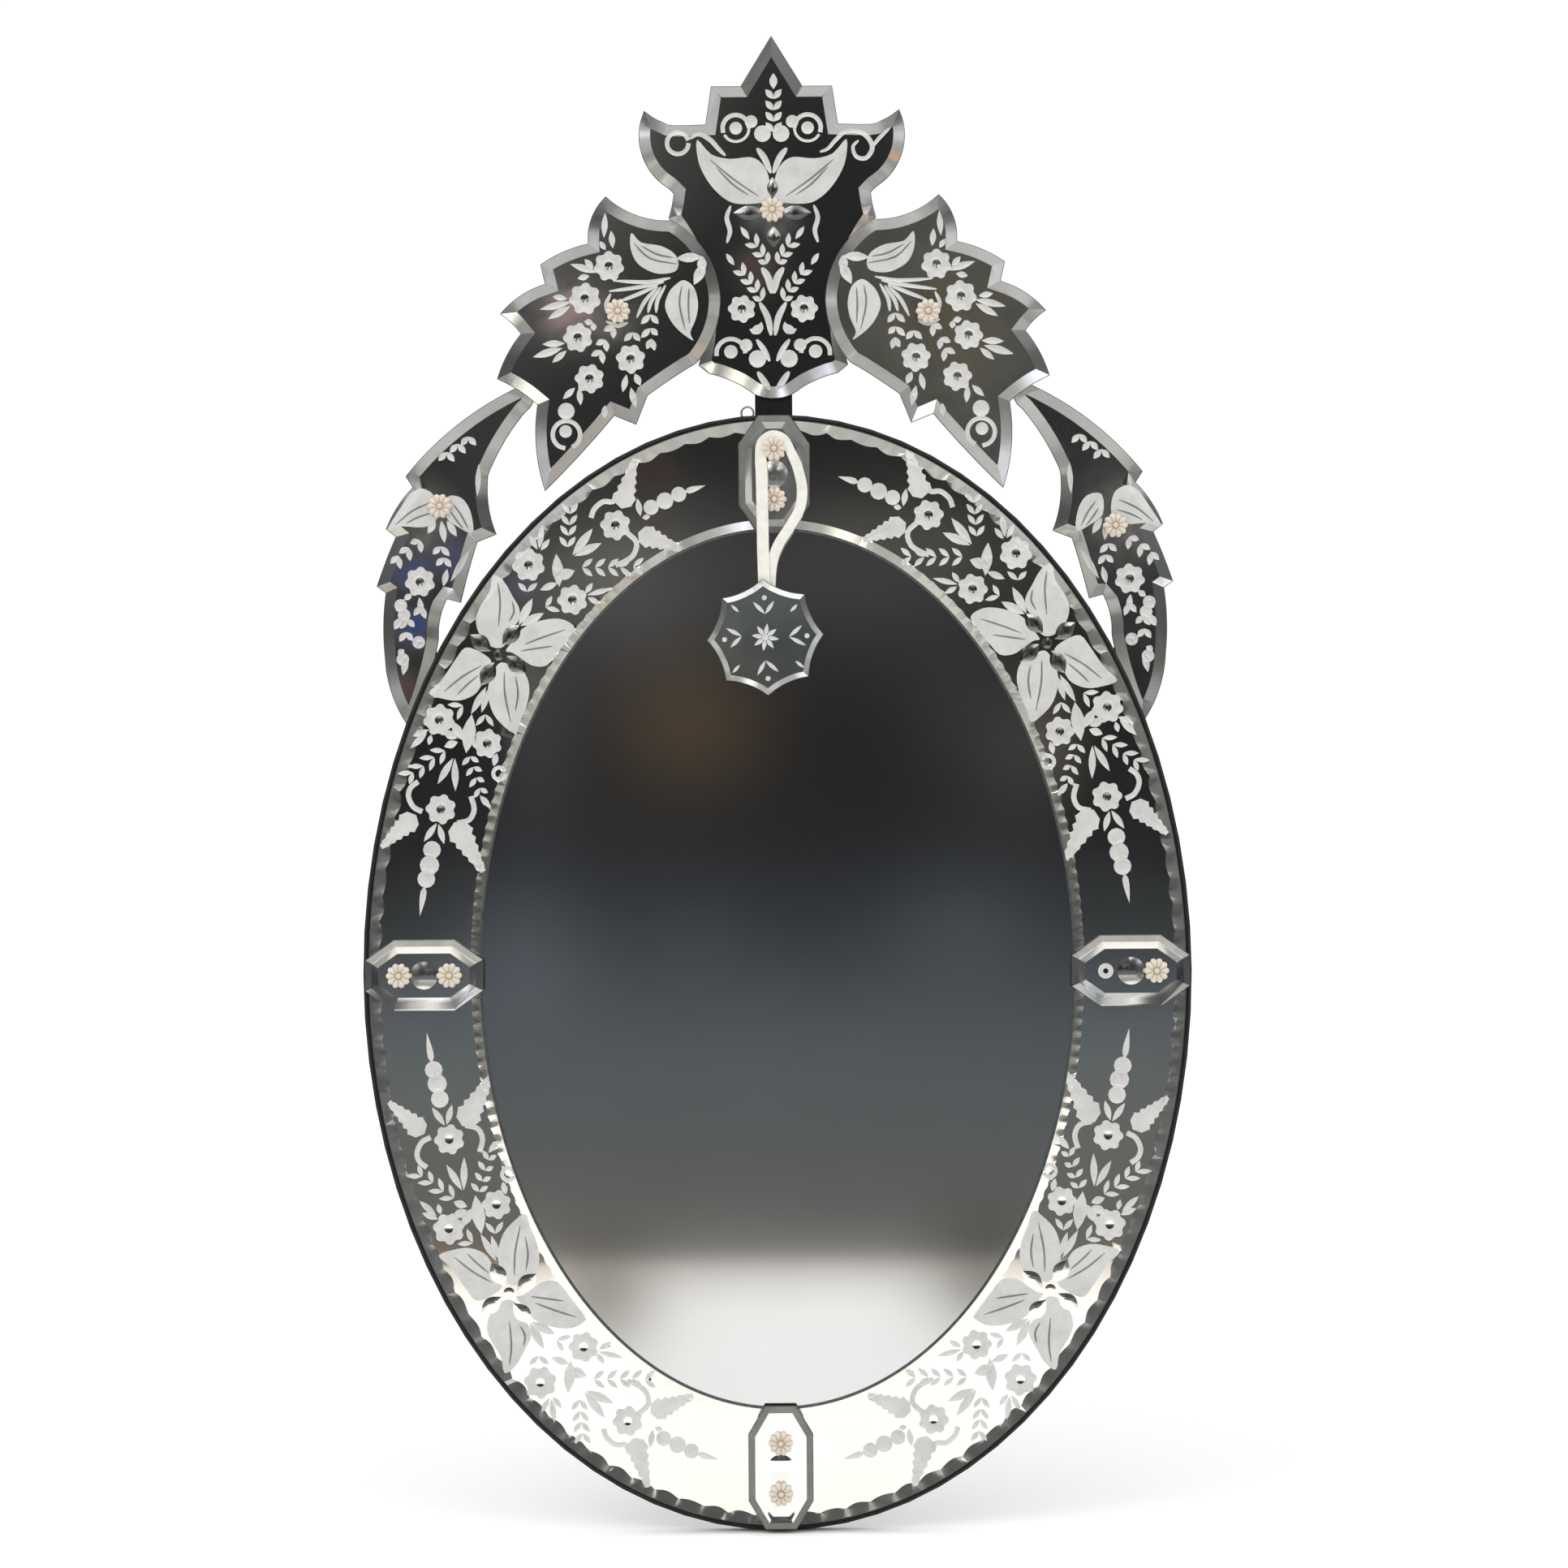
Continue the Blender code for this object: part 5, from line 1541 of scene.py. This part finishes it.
# The room that the mirror shows, by the slopes of the way in: u to the right and v up.
# First its tones straight ahead and far to the side as (v, colour), then soft patches in it
# as (u, v, half width, half height, colour).
ROOM_SPAN = 0.8
ROOM_AHEAD = [
    (-0.40, (1.05, 1.05, 1.03)), (-0.33, (0.85, 0.85, 0.83)), (-0.28, (0.42, 0.42, 0.41)),
    (-0.20, (0.33, 0.33, 0.32)), (-0.16, (0.48, 0.48, 0.47)), (-0.135, (0.48, 0.47, 0.45)),
    (-0.122, (0.145, 0.140, 0.130)), (-0.100, (0.126, 0.132, 0.130)), (-0.080, (0.124, 0.136, 0.143)),
    (-0.060, (0.094, 0.110, 0.132)), (-0.042, (0.048, 0.054, 0.062)), (-0.020, (0.019, 0.021, 0.024)),
    (0.010, (0.013, 0.014, 0.015)), (0.060, (0.015, 0.016, 0.017)), (0.120, (0.013, 0.014, 0.014)),
    (0.200, 0.018), (0.250, (0.060, 0.060, 0.057)), (0.320, (0.36, 0.35, 0.32)),
    (0.480, (0.42, 0.42, 0.41)), (0.620, (2.60, 2.60, 2.56)),
]
ROOM_ASIDE = [
    (-0.60, (0.95, 0.95, 0.93)), (-0.30, (0.85, 0.85, 0.83)), (-0.20, (0.26, 0.26, 0.25)),
    (-0.12, (0.16, 0.16, 0.155)), (-0.05, (0.065, 0.067, 0.070)), (0.05, (0.10, 0.10, 0.096)),
    (0.13, (0.40, 0.40, 0.38)), (0.30, (0.46, 0.46, 0.44)), (0.50, (0.50, 0.50, 0.49)),
    (0.62, (2.60, 2.60, 2.56)),
]
ROOM_ASIDE_FROM, ROOM_ASIDE_TO = 0.14, 0.28
ROOM_PATCHES = [
    (-0.040, 0.052, 0.024, 0.018, 0.150),
    (0.020, 0.056, 0.040, 0.018, (0.085, 0.086, 0.086)),
    (-0.024, 0.016, 0.016, 0.014, (0.150, 0.098, 0.050)),
    (-0.064, 0.018, 0.007, 0.026, (0.105, 0.110, 0.115)),
    (0.062, 0.010, 0.012, 0.014, (0.110, 0.100, 0.090)),
    (0.044, 0.022, 0.012, 0.016, (0.050, 0.051, 0.051)),
    (0.046, -0.040, 0.016, 0.014, (0.105, 0.118, 0.132)),
    (-0.067, -0.048, 0.014, 0.018, (0.150, 0.170, 0.200)),
    (-0.022, -0.045, 0.010, 0.014, (0.085, 0.098, 0.115)),
    (-0.008, -0.072, 0.050, 0.010, (0.125, 0.142, 0.154)),
    (-0.090, -0.1195, 0.030, 0.0026, (0.300, 0.180, 0.110)),
    (0.280, 0.160, 0.060, 0.050, (0.85, 0.88, 0.95)),
    (-0.280, 0.160, 0.060, 0.050, (0.85, 0.88, 0.95)),
    (0.135, 0.215, 0.040, 0.040, (0.95, 0.95, 0.93)),
    (-0.135, 0.215, 0.030, 0.040, 0.50),
    (-0.092, 0.250, 0.045, 0.075, (1.40, 1.40, 1.34)),
    (0.095, 0.250, 0.045, 0.045, (0.58, 0.58, 0.55)),
    (0.080, 0.185, 0.022, 0.026, (1.10, 1.10, 1.08)),
    (-0.080, 0.185, 0.022, 0.026, (0.40, 0.40, 0.39)),
    (-0.160, 0.400, 0.040, 0.100, 0.30),
    (-0.075, 0.400, 0.034, 0.100, (2.00, 2.10, 2.40)),
    (0.040, 0.400, 0.034, 0.100, (0.20, 0.20, 0.21)),
    (0.137, 0.390, 0.034, 0.100, (1.80, 1.74, 1.54)),
    (-0.270, 0.300, 0.040, 0.030, (0.62, 0.40, 0.24)),
]
PATCH_STRENGTH = 0.9
CLUTTER_SCALE = 16.0              # of the lighter and darker things around the room
CLUTTER_FROM, CLUTTER_TO = 0.16, 0.24
LIT = 1.08                        # white surroundings that light the mirror


def room_tones(nodes, v, tones):
    stops = [((slope + ROOM_SPAN) / (2 * ROOM_SPAN), colour) for slope, colour in tones]
    return nodes.ramp(nodes.fitted(v, -ROOM_SPAN, ROOM_SPAN), *stops)


def room_picture(nodes, u, v):
    across = nodes.maths("ABSOLUTE", u)
    aside = nodes.fitted(across, ROOM_ASIDE_FROM, ROOM_ASIDE_TO, "SMOOTHSTEP")
    room = nodes.mixed(aside, room_tones(nodes, v, ROOM_AHEAD), room_tones(nodes, v, ROOM_ASIDE))
    for middle_u, middle_v, wide, high, colour in ROOM_PATCHES:
        du = nodes.maths("DIVIDE", nodes.maths("SUBTRACT", u, middle_u), wide)
        dv = nodes.maths("DIVIDE", nodes.maths("SUBTRACT", v, middle_v), high)
        near = nodes.maths("MULTIPLY", nodes.nearness(du, dv), PATCH_STRENGTH)
        room = nodes.mixed(near, room, colour)
    place = nodes.add("CombineXYZ", {"X": u, "Y": v})
    things = nodes.add("TexNoise", {"Vector": place, "Scale": CLUTTER_SCALE, "Detail": 3.0}, "Fac")
    strewn = nodes.ramp(things, (0.36, 0.62), (0.50, 0.95), (0.64, 1.30))
    far = nodes.fitted(nodes.maths("MAXIMUM", v, across), CLUTTER_FROM, CLUTTER_TO, "SMOOTHSTEP")
    return nodes.mixed(far, room, nodes.mixed(1.0, room, strewn, "MULTIPLY"))


def make_world():
    """Glossy rays see the room, and all others white surroundings."""
    world = bpy.data.worlds.new("studio")
    bpy.context.scene.world = world
    world.use_nodes = True
    nodes = Nodes(world.node_tree)
    nodes.tree.nodes.clear()
    x, y, z = nodes.apart(nodes.add("TexCoord", {}, "Generated"))
    depth = nodes.maths("MAXIMUM", nodes.maths("MULTIPLY", y, -1.0), 0.05)
    room = room_picture(nodes, nodes.maths("DIVIDE", x, depth), nodes.maths("DIVIDE", z, depth))
    room = nodes.mixed(nodes.maths("GREATER_THAN", y, 0.0), room, 0.8)
    glossy = nodes.add("LightPath", {}, "Is Glossy Ray")
    lit = nodes.add("Background", {"Color": 1.0, "Strength": LIT})
    seen = nodes.add("Background", {"Color": room})
    out = nodes.tree.nodes.new("ShaderNodeOutputWorld")
    nodes.put(out.inputs["Surface"], nodes.add("MixShader", {0: glossy, 1: lit, 2: seen}))


def soft_light(name, location, target, size, power):
    made = bpy.data.lights.new(name, "AREA")
    made.shape = "DISK"
    made.size = size
    made.energy = power
    lamp = placed(name, made)
    lamp.location = location
    lamp.rotation_mode = "QUATERNION"
    lamp.rotation_quaternion = (Vector(target) - Vector(location)).to_track_quat("-Z", "Y")
    lamp.visible_glossy = False


def make_lights():
    soft_light("key_light", (-1.6, -2.2, 1.6), (0.0, 0.0, -0.2), 1.6, 14.0)
    soft_light("fill_light", (2.0, -1.8, 0.6), (0.0, 0.0, -0.3), 2.0, 6.0)


def cover_looks():
    glass = ((0.93, 0.93, 0.90), (0.87, 0.87, 0.83), 0.03)
    # each cover's haze of dust, and the grey of the painted shade band on its bevels
    worn = {"top": (0.09, 0.19), "left": (0.02, 0.42), "right": (0.008, 0.42), "bottom": (0.005, 0.22)}
    return {
        side: plate_looks("cover_" + side, *glass, haze=haze, lens_wedge=COVER_LENS_WEDGE, dull=dull)
        for side, (haze, dull) in worn.items()
    }


def crest_looks():
    glass = ((0.86, 0.86, 0.84), (0.78, 0.77, 0.74), 0.04)
    hazes = {
        "crest": 0.004, "leaf_left": 0.006, "leaf_right": 0.055, "wing_left": 0.012, "wing_right": 0.018,
    }
    return {
        name: plate_looks(name, *glass, haze=haze, spots=painted_blots(CREST_PAINTED_REFLECTIONS[name], crest_place))
        for name, haze in hazes.items()
    }


def main():
    make_camera()
    bpy.context.scene.view_settings.view_transform = "Standard"
    make_world()
    make_lights()
    make_floor()
    tape, line, length = ribbon(woven_tape("woven_tape"))
    pendant = pendant_plate(plate_looks(
        "pendant", (0.80, 0.91, 0.91), (0.84, 0.89, 0.88), 0.05, haze=0.042, bevel_haze=0.03,
        bevel_tint=(1.0, 1.0, 0.98)))
    tuple(line[0])
    [tuple(p) for p in line]
    border = plate_looks("border", (0.95, 0.94, 0.875), (0.90, 0.885, 0.81), 0.03, haze=0.003,
                         bevel_haze=0.035, spots=painted_blots(BORDER_PAINTED_REFLECTIONS, quarter_place("upper_left")))
    for turn, quarter in enumerate(("upper_right", "upper_left", "lower_left", "lower_right")):
        border_plate(quarter, turn, border)
    cover_plates(cover_looks())
    crest_plates(crest_looks())
    rosettes(moulded_glass("moulded_glass"))
    dress_nodes(["centre_mirror"], silvered(
        "centre_glass", (0.72, 0.72, 0.71), (0.70, 0.70, 0.69), 0.078, wave=0.0, dust=4.0,
        specked=False, spots=painted_blots(CENTRE_PAINTED_SHADE, seen_place)))
    kinds = ("backing_board", "wing_board", "crest_strut", "crest_batten", "leaf_pad")
    dress_nodes([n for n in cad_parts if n.startswith(kinds)], painted_wood("painted_wood"))
    dress_nodes(["hanging_batten", "lower_batten"], stained_wood("stained_wood"))
    dress_nodes(["hanging_plate", "wire_eye"], brushed_steel("brushed_steel"))


main()
